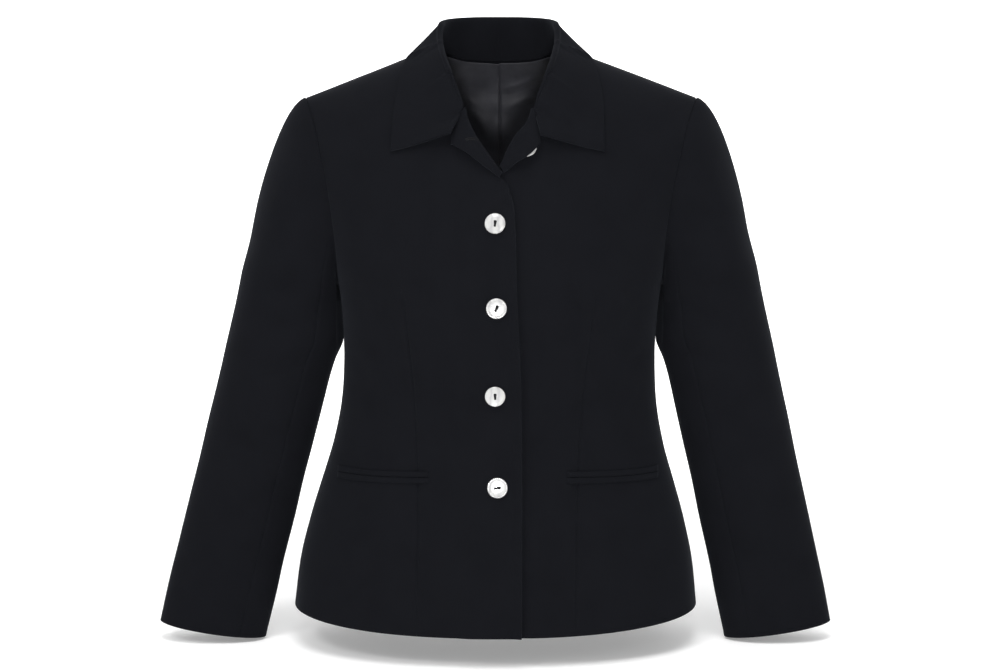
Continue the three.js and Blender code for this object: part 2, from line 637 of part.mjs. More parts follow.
function sleeveWall(degrees, row) {
  if (row === 0) {
    const { point, normal, into } = armholeAt(degrees);
    const outer = point.addScaledVector(into, ARMHOLE_GAP);
    return { outer, inner: outer.clone().addScaledVector(normal, -CLOTH) };
  }
  const outer = sleeveSurface(degrees, row);
  const turn = 1;
  const step = 0.25;
  const around = sleeveSurface(degrees + turn, row).sub(sleeveSurface(degrees - turn, row));
  const lastRow = 1 + HEAD_ROWS + ARM_ROWS;
  const before = sleeveSurface(degrees, Math.max(1, row - step));
  const down = sleeveSurface(degrees, Math.min(lastRow, row + step)).sub(before);
  const normal = new THREE.Vector3().crossVectors(around, down).normalize();
  if (row === 1) {
    const seam = armholeAt(degrees);
    normal.add(seam.normal).normalize();
  }
  return { outer, inner: outer.clone().addScaledVector(normal, -CLOTH) };
}

function addSleevePanel(name, side, degrees) {
  const last = degrees.length - 1;
  const trimmed = degrees.map((value, i) => {
    if (i === 0) return value + SLEEVE_SEAM_HALF;
    return i === last ? value - SLEEVE_SEAM_HALF : value;
  });
  const at = (i, j) => sleeveWall(trimmed[i], j);
  const rows = 1 + HEAD_ROWS + ARM_ROWS;
  addPiece(`${name}_${side}`, wallGeometry(last, rows, at, sideSign[side]), 'cloth');
}

function addSleeve(side) {
  addSleevePanel('sleeve_top', side, TOP_SLEEVE_DEGREES);
  addSleevePanel('sleeve_under', side, UNDER_SLEEVE_DEGREES);
}

// ---------- collar ----------

const SHOULDER_STATION = COLLAR_STATIONS.findIndex((station) => station.neckQ === NECK_HALF_WIDTH);
const LAST_STATION = COLLAR_STATIONS.length - 1;
const FALL_SHARES = [0.28, 0.55, 0.8];
const FLAT_SHARES = [0, 0.03, 0.06, 0.09, 0.12, 0.36, 0.6, 0.82, 1];
const FALL_LIFT = 0.9;                          // the fall stands this far off the body

const isBehind = (place) => place * LAST_STATION < SHOULDER_STATION - 1e-6;
const neckFaceAt = (place) => (isBehind(place) ? 1 : -1);

function neckPoint(place) {
  const q = Math.min(along(COLLAR_STATIONS, place).neckQ, NECK_HALF_WIDTH);
  const neckline = isBehind(place) ? backNeckline : frontNeckline;
  const z = Math.min(neckline(q), ridge(q));
  return new THREE.Vector3(q, bodyY(neckFaceAt(place), q, z), z);
}

function crestPoint(place) {
  const { foldX, foldY, foldZ } = along(COLLAR_STATIONS, place);
  return new THREE.Vector3(foldX, foldY, foldZ);
}

function tangentOf(pointAt, place) {
  const step = 0.02;
  const ahead = pointAt(Math.min(1, place + step));
  return ahead.sub(pointAt(Math.max(0, place - step))).normalize();
}

const flareAt = (side, place) => POINT_FLARE[side] * smooth((place - 0.45) / 0.55);

// The outer edge of the fall where it lies on the body.
function fallEdge(side, place, lift) {
  const { edgeQ, edgeRoll } = along(COLLAR_STATIONS, place);
  const q = edgeQ + flareAt(side, place);
  return bodyPoint(edgeRoll < 0 ? 1 : -1, q, ridge(q) - dropAtRoll(edgeRoll), lift);
}

// Pairs of wall points across the folded collar: up the stand, over the crest, down the fall.
function foldedSection(side, place) {
  const seat = neckPoint(place);
  const seatNormal = outward(neckFaceAt(place), seat.x, seat.z, seat.y);
  const intoNeck = new THREE.Vector3().crossVectors(tangentOf(neckPoint, place), seatNormal).normalize();
  const lapAtSeat = side === 'right' ? lapLift(seat.x) : 0;
  const rise = (CLOTH + FALL_LIFT + lapAtSeat) * smooth((place - 0.84) / 0.16);
  seat.addScaledVector(intoNeck, NECK_SEAM_GAP).addScaledVector(seatNormal, rise);
  const tangent = tangentOf(crestPoint, place);
  const crest = crestPoint(place);
  const edge = fallEdge(side, place, FALL_LIFT + COLLAR_WALL / 2);
  const height = crest.distanceTo(seat);
  const across = edge.clone().sub(seat);
  across.addScaledVector(tangent, -across.dot(tangent)).normalize();
  const up = crest.clone().sub(seat);
  up.addScaledVector(tangent, -up.dot(tangent)).addScaledVector(across, -up.dot(across)).normalize();
  const bend = Math.min(2.6, 0.22 * height);
  const top = crest.clone().addScaledVector(up, -COLLAR_WALL / 2);
  const clearOf = (point) => {
    const lap = side === 'right' ? lapLift(point.x) : 0;
    return keepAbove(point, FALL_LIFT + lap + COLLAR_WALL / 2);
  };
  const outside = top.clone().addScaledVector(up, -bend).addScaledVector(across, bend);
  const pushed = isBehind(place) ? new THREE.Vector3() : clearOf(outside).sub(outside);
  outside.add(pushed);
  top.add(pushed);
  const inside = top.clone().addScaledVector(up, -bend).addScaledVector(across, -bend);
  const seatMiddle = seat.clone().addScaledVector(seatNormal, -CLOTH / 2);
  const centre = [seatMiddle, seatMiddle.clone().lerp(inside, 0.5), inside, top, outside];
  for (const share of FALL_SHARES) centre.push(clearOf(outside.clone().lerp(edge, share)));
  centre.push(edge);
  return centre.map((point, k) => {
    if (k === 0) return { outer: seat, inner: seat.clone().addScaledVector(seatNormal, -CLOTH) };
    const next = centre[Math.min(centre.length - 1, k + 1)];
    const direction = next.clone().sub(centre[k - 1]);
    const normal = new THREE.Vector3().crossVectors(tangent, direction).normalize();
    return {
      outer: point.clone().addScaledVector(normal, -COLLAR_WALL / 2),
      inner: point.clone().addScaledVector(normal, COLLAR_WALL / 2),
    };
  });
}

// The collar's front end lies flat on the front, from the gorge seam to the outer edge.
function flatSection(side, share) {
  const gorge = GORGE_END[side];
  const startQ = mix(GORGE_TOP.q, gorge.q, share) + SEAM_GAP;
  const startZ = mix(GORGE_TOP.z, gorge.z, share) + SEAM_GAP;
  const last = fallEdge(side, 1, 0);
  const endQ = mix(last.x, COLLAR_POINT.q + POINT_FLARE[side], share);
  const endZ = mix(last.z, COLLAR_POINT.z, share);
  return FLAT_SHARES.map((across) => {
    const q = mix(startQ, endQ, across);
    const z = mix(startZ, endZ, across);
    const lap = side === 'right' ? lapLift(q) : 0;
    const lift = FALL_LIFT + lap;
    return { outer: bodyPoint(-1, q, z, lift), inner: bodyPoint(-1, q, z, lift + COLLAR_WALL) };
  });
}

// The place along the half collar whose neck seam lies this far out, in front or behind.
function placeOfNeck(q, behind) {
  const shoulder = SHOULDER_STATION / LAST_STATION;
  let low = behind ? 0 : shoulder;
  let high = behind ? shoulder : 1;
  for (let pass = 0; pass < 40; pass += 1) {
    const middle = (low + high) / 2;
    const short = along(COLLAR_STATIONS, middle).neckQ < q;
    if (short === behind) low = middle;
    else high = middle;
  }
  return low;
}

function addCollar() {
  const flat = [0.35, 0.68, 1];
  const places = [
    0, ...BACK_NECK_COLUMNS.map((q) => placeOfNeck(q, true)), SHOULDER_STATION / LAST_STATION,
    ...[...FRONT_NECK_COLUMNS].reverse().map((q) => placeOfNeck(q, false)),
  ];
  const half = (side) => [
    ...places.map((place) => foldedSection(side, place)),
    ...flat.map((share) => flatSection(side, share)),
  ];
  const mirrored = half('right').slice(1).reverse().map((section) => (
    section.map(({ outer, inner }) => ({
      outer: new THREE.Vector3(-outer.x, outer.y, outer.z),
      inner: new THREE.Vector3(-inner.x, inner.y, inner.z),
    }))));
  const sections = [...mirrored, ...half('left')];
  const across = sections[0].length - 1;
  const at = (i, j) => sections[i][j];
  addPiece('collar', wallGeometry(sections.length - 1, across, at), 'cloth');
}

// ---------- revers ----------

const REVERS_LIFT = 0.5;

// The left revers rides up over the unfastened neck button that lies beneath it.
function neckButtonRise(q, z) {
  const distance = Math.hypot(q - NECK_BUTTON.q, z - NECK_BUTTON.z);
  return (BUTTON_THICKNESS + 2 * SEAM_GAP) * (1 - smooth((distance - 12.5) / 11));
}

function addRevers(side) {
  const lengthwise = 8;
  const crosswise = 4;
  const at = (i, j) => {
    const row = along(REVERS[side], i / lengthwise);
    const q = mix(row.foldQ, row.edgeQ, j / crosswise);
    const z = mix(row.foldZ, row.edgeZ, j / crosswise);
    const lift = REVERS_LIFT + (side === 'right' ? lapLift(q) : neckButtonRise(q, z));
    return { outer: bodyPoint(-1, q, z, lift + CLOTH), inner: bodyPoint(-1, q, z, lift) };
  };
  addPiece(`revers_${side}`, wallGeometry(lengthwise, crosswise, at, sideSign[side]), 'cloth');
}

// ---------- pockets ----------

function addWelt(level, side) {
  const columns = 10;
  const first = POCKET.top - (level === 'lower' ? POCKET.welt + HALF_GAP : 0);
  const last = POCKET.top - (level === 'lower' ? 2 * POCKET.welt : POCKET.welt - HALF_GAP);
  const at = (i, j) => {
    const share = i / columns;
    const q = mix(POCKET.inner, POCKET.outer, share);
    const z = (j === 0 ? first : last) - POCKET.droop * share;
    return {
      outer: bodyPoint(-1, q, z, POCKET.clear + POCKET.proud),
      inner: bodyPoint(-1, q, z, POCKET.clear),
    };
  };
  addPiece(`welt_${level}_${side}`, wallGeometry(columns, 1, at, sideSign[side]), 'cloth');
}

// ---------- buttons ----------

const BUTTON_PROFILE = [
  [0, 0], [9.4, 0], [BUTTON_RADIUS, 1.0], [9.3, BUTTON_THICKNESS], [7.6, 1.7], [0, 1.6],
];
const BUTTON_SIDES = 20;
const HOLE_RADIUS = 0.95;
const HOLE_OFFSET = 1.7;

// A shell button with a raised rim and two holes, lying on its carrier with a small gap.
function addButton(name, x, z, lift, holeTurn) {
  const profile = BUTTON_PROFILE.map(([radius, height]) => new THREE.Vector2(radius, height));
  let disc = toManifold(new THREE.LatheGeometry(profile, BUTTON_SIDES));
  for (const side of [-1, 1]) {
    const hole = new THREE.CylinderGeometry(HOLE_RADIUS, HOLE_RADIUS, 3 * BUTTON_THICKNESS, 8);
    hole.translate(side * HOLE_OFFSET, 0, 0).rotateY(holeTurn);
    disc = disc.subtract(toManifold(hole));
  }
  const q = Math.abs(x);
  const y = bodyY(-1, q, z);
  const normal = outward(-1, q, z, y);
  normal.x *= Math.sign(x);
  const geometry = fromManifold(disc);
  const turn = new THREE.Quaternion().setFromUnitVectors(new THREE.Vector3(0, 1, 0), normal);
  geometry.applyQuaternion(turn);
  const seat = new THREE.Vector3(x, y, z).addScaledVector(normal, lift);
  geometry.translate(seat.x, seat.y, seat.z);
  addPiece(name, geometry, 'pearl');
}

// ---------- assembly ----------

const BUTTON_CLEAR = SEAM_GAP + 0.15;
const UPRIGHT_HOLES = Math.PI / 2;
const LEVEL_HOLES = 0.12;

for (const side of ['right', 'left']) {
  addFront(side);
  addSleeve(side);
  addRevers(side);
  addWelt('upper', side);
  addWelt('lower', side);
}
addBack();
addBackLining();
addCollar();
BUTTON_HEIGHTS.forEach((z, i) => {
  const holeTurn = i === BUTTON_HEIGHTS.length - 1 ? LEVEL_HOLES : UPRIGHT_HOLES;
  addButton(`button_${i + 1}`, BUTTON_X, z, LAP_LIFT + BUTTON_CLEAR, holeTurn);
});
addButton('button_neck', NECK_BUTTON.q, NECK_BUTTON.z, SEAM_GAP, UPRIGHT_HOLES);

export default blazer;
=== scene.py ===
import math

import bmesh
import bpy
from mathutils import Matrix, Vector, noise


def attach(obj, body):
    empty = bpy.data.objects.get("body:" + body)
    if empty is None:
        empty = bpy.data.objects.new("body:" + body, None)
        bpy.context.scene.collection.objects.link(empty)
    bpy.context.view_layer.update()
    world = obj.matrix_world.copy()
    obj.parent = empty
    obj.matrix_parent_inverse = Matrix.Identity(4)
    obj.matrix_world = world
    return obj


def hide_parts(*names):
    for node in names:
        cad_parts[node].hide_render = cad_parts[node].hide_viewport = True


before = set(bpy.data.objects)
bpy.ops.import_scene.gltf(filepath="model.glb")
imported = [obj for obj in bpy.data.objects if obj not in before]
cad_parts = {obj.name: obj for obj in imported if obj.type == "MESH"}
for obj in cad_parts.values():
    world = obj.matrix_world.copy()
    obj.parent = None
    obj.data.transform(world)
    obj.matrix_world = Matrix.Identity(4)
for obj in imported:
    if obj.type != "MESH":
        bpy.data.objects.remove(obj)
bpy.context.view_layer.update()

# The camera stands level with the collar, a little over two metres in front of the blazer,
# and looks slightly down at its waist.
camera = bpy.data.objects.new("camera", bpy.data.cameras.new("camera"))
camera.data.sensor_width = 36
camera.data.lens = 79.48
camera.location = (0.0056, -2.25, 0.010)
camera.rotation_euler = (math.radians(90 - 7.612), 0, 0)
bpy.context.scene.collection.objects.link(camera)
bpy.context.scene.camera = camera

# ---------------------------------------------------------------------------
# Back: one panel of black suiting cloth between the side seams, the armholes,
# the shoulder seams and the neckline, with the hem turned up at the bottom.
# It hangs on the wearer's form, which every other panel follows as well.

MM = 0.001
NECK_HALF_WIDTH = 69      # side neck point, out from the centre
SHOULDER_SLOPE = 0.385
SHOULDER_ROLL = 70        # height over which the shoulder rolls into front and back
ROUNDNESS = 2.3           # exponent of the form's oval section
HALF_SEAM = 0.15
CLOTH = 2.0               # thickness of the cloth with its interlining


def curve_through(rows):
    """Reads the smooth curve through (key, value) rows at any key."""
    keys = [row[0] for row in rows]
    values = [row[1] for row in rows]
    falling = keys[0] > keys[-1]
    last = len(rows) - 1
    slopes = []
    for i in range(len(rows)):
        a, b = max(0, i - 1), min(last, i + 1)
        slopes.append((values[b] - values[a]) / (keys[b] - keys[a]))

    def read(at):
        i = 1
        while i < last and (keys[i] > at if falling else keys[i] < at):
            i += 1
        span = keys[i] - keys[i - 1]
        t = min(1.0, max(0.0, (at - keys[i - 1]) / span))
        near = (2 * t**3 - 3 * t**2 + 1) * values[i - 1] + (t**3 - 2 * t**2 + t) * span * slopes[i - 1]
        return near + (3 * t**2 - 2 * t**3) * values[i] + (t**3 - t**2) * span * slopes[i]

    return read


def mix(a, b, t):
    return a + (b - a) * t


def clamp(t):
    return min(1.0, max(0.0, t))


def smooth(t):
    t = clamp(t)
    return t * t * (3 - 2 * t)


form_width = curve_through([
    (40, 236), (0, 226), (-50, 214), (-100, 199), (-150, 185), (-200, 172), (-240, 163), (-280, 159),
    (-320, 158.3), (-360, 161.2), (-400, 169), (-440, 181), (-480, 192.6), (-520, 201.6), (-575, 208.3)])
front_depth = curve_through([
    (40, 44), (0, 58), (-50, 75), (-100, 95), (-150, 108), (-200, 118), (-240, 122), (-280, 119),
    (-320, 112), (-360, 108), (-400, 109), (-440, 114), (-480, 120), (-520, 125), (-575, 130)])
back_depth = curve_through([
    (40, 60), (0, 72), (-50, 86), (-100, 101), (-150, 109), (-200, 111), (-240, 108), (-280, 102),
    (-320, 99), (-360, 101), (-400, 107), (-440, 113), (-480, 118), (-520, 121), (-575, 123)])
sideways_hang = curve_through([
    (40, 0.2), (0, 0.8), (-50, 2.8), (-150, 1.8), (-300, 1.1), (-400, -0.4), (-500, -2), (-600, -3.6)])
FRONT, BACK = -1, 1


def form_depth(face, z):
    return front_depth(z) if face < 0 else back_depth(z)


def shoulder_line(q):
    return SHOULDER_SLOPE * (NECK_HALF_WIDTH - abs(q))


def form_y(face, q, z):
    share = clamp(abs(q) / form_width(z)) ** ROUNDNESS
    t = clamp((shoulder_line(q) - z) / SHOULDER_ROLL)
    rolled = math.sqrt(1 - (1 - t) ** 2)
    return face * max(HALF_SEAM, form_depth(face, z) * (1 - share) ** (1 / ROUNDNESS) * rolled)


def outward(face, q, z, y):
    """The direction in which the form's surface faces."""
    side = 1 if q >= 0 else -1
    on_seam = abs(y) <= HALF_SEAM + 1e-9
    if on_seam and z > shoulder_line(q) - 1e-3:
        return Vector((SHOULDER_SLOPE * side, 0, 1)).normalized()
    width, depth = form_width(z), form_depth(face, z)
    width_rate = (form_width(z + 0.5) - form_width(z - 0.5)) / width
    depth_rate = (form_depth(face, z + 0.5) - form_depth(face, z - 0.5)) / depth
    share = max(1e-6, abs(q) / width) ** ROUNDNESS
    drop = max(1e-4, shoulder_line(q) - z)
    t = clamp(drop / SHOULDER_ROLL)
    rolled = (1 - t) / (SHOULDER_ROLL * (1 - (1 - t) ** 2)) if t < 1 else 0
    rest = max(1e-6, 1 - share)
    across = share / max(1e-3, abs(q)) + rest * rolled * SHOULDER_SLOPE
    along = -share * width_rate - rest * depth_rate + rest * rolled
    forward = 0 if on_seam else face * rest / max(HALF_SEAM, abs(y))
    return Vector((across * side, forward, along)).normalized()


def on_form(face, q, z, lift=0.0):
    """A point of the form's surface, moved out by lift."""
    y = form_y(face, q, z)
    return Vector((q, y, z)) + outward(face, q, z, y) * lift


def oval_angle(q, z):
    share = max(-1.0, min(1.0, q / form_width(z)))
    return math.asin(math.copysign(abs(share) ** (ROUNDNESS / 2), share))


def oval_out(angle, z):
    s = math.sin(angle)
    return form_width(z) * math.copysign(abs(s) ** (2 / ROUNDNESS), s)


def hang(point):
    """The worn blazer hangs a little to one side; this also turns millimetres into metres."""
    shift = sideways_hang(point.z) * smooth(abs(point.x) / 130)
    return Vector((point.x + shift, point.y, point.z)) * MM


def spread_cloth(name, columns, rows, place, size, side=1):
    """A sheet of cloth: place(u, v) says where each of its points hangs, size is its cut in metres."""
    bm = bmesh.new()
    uv_name = bm.loops.layers.uv.new("cloth")
    bmesh.ops.create_grid(bm, x_segments=columns, y_segments=rows, size=1, calc_uvs=True)
    for face in bm.faces:
        for loop in face.loops:
            u, v = (loop.vert.co.x + 1) / 2, (1 - loop.vert.co.y) / 2
            loop[uv_name].uv = (u * size[0], -v * size[1])
    for vert in bm.verts:
        point = place((vert.co.x + 1) / 2, (1 - vert.co.y) / 2)
        vert.co = hang(Vector((point.x * side, point.y, point.z)))
    if side < 0:
        bmesh.ops.reverse_faces(bm, faces=bm.faces[:])
    return finish_mesh(name, bm)


def finish_mesh(name, bm):
    mesh = bpy.data.meshes.new(name)
    bm.to_mesh(mesh)
    bm.free()
    mesh.shade_smooth()
    piece = bpy.data.objects.new(name, mesh)
    bpy.context.scene.collection.objects.link(piece)
    return piece


def give_thickness(piece, thickness, offset=-1.0, rounding=0.5):
    """The sheet gets its wall and softly rounded edges."""
    wall = piece.modifiers.new("wall", "SOLIDIFY")
    wall.thickness = thickness * MM
    wall.offset = offset
    wall.use_even_offset = False
    edge = piece.modifiers.new("turned edge", "BEVEL")
    edge.width = rounding * MM
    edge.segments = 2
    edge.limit_method = "ANGLE"
    edge.angle_limit = math.radians(50)
    edge.harden_normals = False


def creases(rows):
    """Soft troughs (plus) and ridges (minus) in a panel, each a bowed stroke from one place to another.

    Each row: from q, from z, to q, to z, bow sideways, half width, depth, in millimetres."""
    def depth_at(q, z):
        total = 0.0
        for q0, z0, q1, z1, bow, width, depth in rows:
            dq, dz = q1 - q0, z1 - z0
            length = math.hypot(dq, dz)
            t = ((q - q0) * dq + (z - z0) * dz) / length**2
            if not -0.15 < t < 1.15:
                continue
            off = ((q - q0) * dz - (z - z0) * dq) / length - bow * 4 * t * (1 - t)
            if abs(off) > 3.4 * width:
                continue
            ends = smooth((t + 0.15) / 0.5) * smooth((1.15 - t) / 0.5)
            s = off / width
            total += depth * ends * (math.exp(-s * s) - 0.35 * math.exp(-((s - 1.6) ** 2) / 0.8))
        return total
    return depth_at


def unevenness(point, size, amount):
    return amount * noise.noise(Vector(point) / size)


front_armhole = curve_through([
    (-48.7, 64.5), (-56, 62.8), (-75, 61.4), (-99, 61.9), (-129, 62.8), (-168, 66), (-200, 70.6),
    (-222, 77.2), (-234, 83.5), (-238, 90)])
back_armhole = curve_through([
    (-48.7, 64.5), (-56, 64.2), (-75, 64), (-99, 64.6), (-129, 65.4), (-168, 68), (-200, 72.4),
    (-222, 78), (-234, 84), (-238, 90)])
ARMHOLE_TOP, ARMHOLE_FOOT = -48.7, -238
back_neckline = curve_through([(-34, -11), (0, -13), (34, -11), (53, -5.5), (64, -0.8), (69, 0)])
front_neckline = curve_through([
    (-21, -150), (-10, -131), (-1.7, -119.5), (3.1, -116.2), (8.2, -108.5), (21.5, -91), (31, -73),
    (36.5, -61), (41.5, -54), (47, -45), (54, -34), (61.5, -20), (67, -7), (69, 0)])


def outer_angle(face, z):
    """How far round the form a body panel reaches: to its armhole, and below that to the side seam."""
    if z <= ARMHOLE_FOOT:
        return math.pi / 2
    return math.radians((front_armhole if face < 0 else back_armhole)(z))


HEM = -568


def hem_height(face, angle):
    """The hem dips at the centre, in front more than behind."""
    return HEM + 2 - (6.6 if face < 0 else 2) * math.cos(angle) ** 2


def panel_line(face, edge, middle, share):
    """A lengthwise line of a body panel: share 0 is its centre edge, 1 its dart line, 2 its outer edge."""
    def out_at(z):
        start, turn = oval_angle(edge(z), z), oval_angle(middle(z), z)
        angle = mix(start, turn, share) if share < 1 else mix(turn, outer_angle(face, z), share - 1)
        return oval_out(angle, z)

    return out_at


def top_of(face, out_at):
    neckline = front_neckline if face < 0 else back_neckline
    low, high = -300.0, 20.0
    for _ in range(30):
        z = (low + high) / 2
        q = out_at(z)
        limit = shoulder_line(q) if abs(q) >= NECK_HALF_WIDTH else neckline(q)
        if z > limit:
            high = z
        else:
            low = z
    return low


def panel_places(face, edge, middle, share_at, lift, hem_rise=0.0):
    """place(u, v) for a body panel; its lengthwise lines are worked out once each."""
    lines = {}

    def place(u, v):
        share = share_at(u)
        key = round(share, 6)
        if key not in lines:
            out_at = panel_line(face, edge, middle, abs(share))
            top = top_of(face, out_at)
            foot = hem_height(face, oval_angle(out_at(HEM), HEM)) + hem_rise
            lines[key] = (out_at, top, foot)
        out_at, top, foot = lines[key]
        z = mix(top, foot, v)
        side = -1 if share < 0 else 1
        q = out_at(z)
        point = on_form(face, q, z, lift(q * side, z))
        return Vector((point.x * side, point.y, point.z))

    return place


back_line = curve_through([(0, 69), (-100, 82), (-220, 86), (-326, 78), (-575, 92)])
back_creases = creases([
    (-30, -305, -118, -345, 6, 9, 1.3), (38, -318, 126, -340, -5, 10, 1.1),
    (-52, -352, -20, -372, 2, 8, 0.8), (120, -120, 96, -235, 8, 12, 1.2),
    (-124, -128, -92, -240, -8, 12, 1.3), (46, -420, 60, -540, 3, 15, 1.0),
    (-70, -415, -62, -545, -3, 14, 1.0)])


def back_lift(x, z):
    return -back_creases(x, z) + unevenness((x, z, 3), 55, 0.35)


back = spread_cloth(
    "back_panel", 150, 180,
    panel_places(BACK, lambda z: 0, back_line, lambda u: 4 * u - 2, back_lift), (0.52, 0.57))
back.data.flip_normals()
give_thickness(back, CLOTH)


def new_material(name, settings):
    """A node material and its shader, whose own sockets get these constants."""
    material = bpy.data.materials.new(name)
    material.use_nodes = True
    shader = material.node_tree.nodes["Principled BSDF"]
    for socket, value in settings.items():
        shader.inputs[socket].default_value = value
    return material, shader


def add_texture(material, kind, source, settings):
    """A texture laid on Object coordinates or on the piece's own UV."""
    nodes, links = material.node_tree.nodes, material.node_tree.links
    texture = nodes.new("ShaderNodeTex" + kind)
    for socket, value in settings.items():
        texture.inputs[socket].default_value = value
    links.new(nodes.new("ShaderNodeTexCoord").outputs[source], texture.inputs["Vector"])
    return texture


def add_weighted(material, value, weight, base):
    """value * weight + base, where value and base are outputs of other nodes."""
    total = material.node_tree.nodes.new("ShaderNodeMath")
    total.operation = "MULTIPLY_ADD"
    total.inputs[1].default_value = weight
    material.node_tree.links.new(value, total.inputs[0])
    material.node_tree.links.new(base, total.inputs[2])
    return total.outputs["Value"]


def colour_by(material, value, *stops):
    """The base colour follows a value through (position, red, green, blue) stops."""
    nodes, links = material.node_tree.nodes, material.node_tree.links
    colour = nodes.new("ShaderNodeValToRGB")
    elements = colour.color_ramp.elements
    for position, *_ in stops[1:-1]:
        elements.new(position)
    for element, (position, *tone) in zip(elements, stops):
        element.position = position
        element.color = (*tone, 1)
    links.new(value, colour.inputs["Fac"])
    links.new(colour.outputs["Color"], nodes["Principled BSDF"].inputs["Base Color"])


def bump_by(material, height, strength, distance):
    """The surface rises and falls with a value."""
    nodes, links = material.node_tree.nodes, material.node_tree.links
    bump = nodes.new("ShaderNodeBump")
    bump.inputs["Strength"].default_value = strength
    bump.inputs["Distance"].default_value = distance
    links.new(height, bump.inputs["Height"])
    links.new(bump.outputs["Normal"], nodes["Principled BSDF"].inputs["Normal"])


# Wool suiting: a fine twill with a faint mottle, matt, with a thin bloom of fibres.
black_suiting, _ = new_material("black suiting", {
    "Roughness": 0.9, "Specular IOR Level": 0.03, "Sheen Weight": 0.03, "Sheen Roughness": 0.5,
    "Sheen Tint": (0.6, 0.65, 0.78, 1)})
twill = add_texture(black_suiting, "Wave", "UV", {
    "Scale": 560, "Distortion": 1.2, "Detail": 1, "Detail Scale": 0.6})
twill.bands_direction = "DIAGONAL"
fibre = add_texture(black_suiting, "Noise", "Object", {"Scale": 900, "Detail": 3})
mottle = add_texture(black_suiting, "Noise", "Object", {"Scale": 34, "Detail": 5})
weave = add_weighted(black_suiting, twill.outputs["Fac"], 0.55, fibre.outputs["Fac"])
shade = add_weighted(black_suiting, mottle.outputs["Fac"], 0.6, weave)
colour_by(black_suiting, shade, (0.45, 0.0012, 0.0013, 0.0018), (0.96, 0.0050, 0.0053, 0.0068))
bump_by(black_suiting, weave, 0.35, 0.00025)

back.data.materials.append(black_suiting)
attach(back, "root")
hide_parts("back")

# ---------------------------------------------------------------------------
# Back lining: dark grey satin, felled in just under the back. An ease pleat runs down
# its centre, and the thin cloth is puckered by the handling below the neck seam.

LINING_OFF = 3.7          # how far the lining hangs inside the back
PLEAT_WIDTH, PLEAT_STEP = 17, 1.3

lining_creases = creases([
    (8, -40, 42, -24, 2, 3, 1.9), (12, -60, 52, -44, -2, 3.5, 1.4), (16, -88, 42, -66, 2, 4.5, 0.8),
    (-42, -34, -22, -60, 3, 3, 1.5), (-34, -58, -12, -88, -3, 3.5, 1.5),
    (-52, -60, -36, -110, 4, 5, 1.3), (30, -96, 22, -150, 4, 5, 1.5), (54, -70, 44, -140, -4, 6, 1.3),
    (-22, -100, -14, -165, 3, 5, 1.3), (60, -200, 84, -320, 6, 12, 1.4),
    (-66, -210, -88, -330, -6, 12, 1.4), (-30, -330, -90, -352, 4, 8, 1.2),
    (28, -340, 92, -358, -4, 8, 1.2), (50, -430, 64, -530, 5, 12, 1.2),
    (-58, -425, -70, -530, -5, 12, 1.2)])


def lining_lift(x, z):
    step = PLEAT_STEP * (1 - smooth(-x / PLEAT_WIDTH)) if x < 0 else 3.8 * math.exp(-((x / 1.4) ** 2))
    fade = smooth((-16 - z) / 16)
    return -LINING_OFF - step + (lining_creases(x, z) + unevenness((x, z, 9), 13, 0.55)) * fade * -0.9


def lining_share(u):
    """Columns crowd round the centre, where the pleat folds over."""
    s = 2 * u - 1
    return math.copysign(2 * abs(s) ** 1.35, s)


back_lining = spread_cloth(
    "lining_panel", 121, 190,
    panel_places(BACK, lambda z: 0, back_line, lining_share, lining_lift, hem_rise=20), (0.54, 0.55))
back_lining.data.flip_normals()
give_thickness(back_lining, 0.6, rounding=0.15)

satin, _ = new_material("grey lining satin", {
    "Roughness": 0.5, "Specular IOR Level": 0.35, "Anisotropic": 0.4, "Sheen Weight": 0.25,
    "Sheen Roughness": 0.3})
threads = add_texture(satin, "Wave", "UV", {"Scale": 900, "Distortion": 0.8})
threads.bands_direction = "X"
tone = add_texture(satin, "Noise", "Object", {"Scale": 60, "Detail": 4})
shade = add_weighted(satin, threads.outputs["Fac"], 0.35, tone.outputs["Fac"])
colour_by(satin, shade, (0.3, 0.0155, 0.0158, 0.0196), (0.95, 0.0345, 0.0349, 0.0418))
bump_by(satin, shade, 0.2, 0.0001)

back_lining.data.materials.append(satin)
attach(back_lining, "root")
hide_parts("back_lining")

# ---------------------------------------------------------------------------
# Fronts: two panels of the same cloth, each with a long dart from the bust to the hem.
# The wearer's right front laps over the left one and carries the buttonholes.

LAP_LIFT = 2.8            # how far the right front stands over the left one
LAP_FADE = (24, 44)
EDGE_SPRING = 3.0         # its edge springs a little further off
EDGE_PRESS = 1.5          # and the left front is pressed in beside it
DART_DEPTH = 1.9
LEFT_EDGE = -21
BREAK = -118              # height at which the revers turn back

right_edge = curve_through([
    (0, -1.7), (-113.6, -1.7), (-125, -7.5), (-139, -11.4), (-150, -14.2), (-170, -15.8), (-239, -17.6),
    (-329, -21.5), (-420, -22.6), (-575, -22.6)])
dart_line = curve_through([(0, 69), (-100, 85), (-220, 94), (-326, 84), (-438, 78.5), (-575, 79)])


def lap_lift(q):
    return LAP_LIFT * (1 - smooth((q - LAP_FADE[0]) / (LAP_FADE[1] - LAP_FADE[0])))


def dart_groove(q, z):
    """The stitched line itself, and the soft hollow that it draws the cloth into."""
    strength = smooth((z + 590) / 110) * smooth((-222 - z) / 50)
    off = q - dart_line(z)
    return DART_DEPTH * strength * (0.62 * math.exp(-((off / 0.9) ** 2)) + 0.45 * math.exp(-((off / 5) ** 2)))


def front_share(u):
    """Columns crowd round the dart, so that its seam is crisp."""
    s = 2 * u - 1
    return 1 + math.copysign(abs(s) ** 1.45 * 0.93 + abs(s) * 0.07, s)


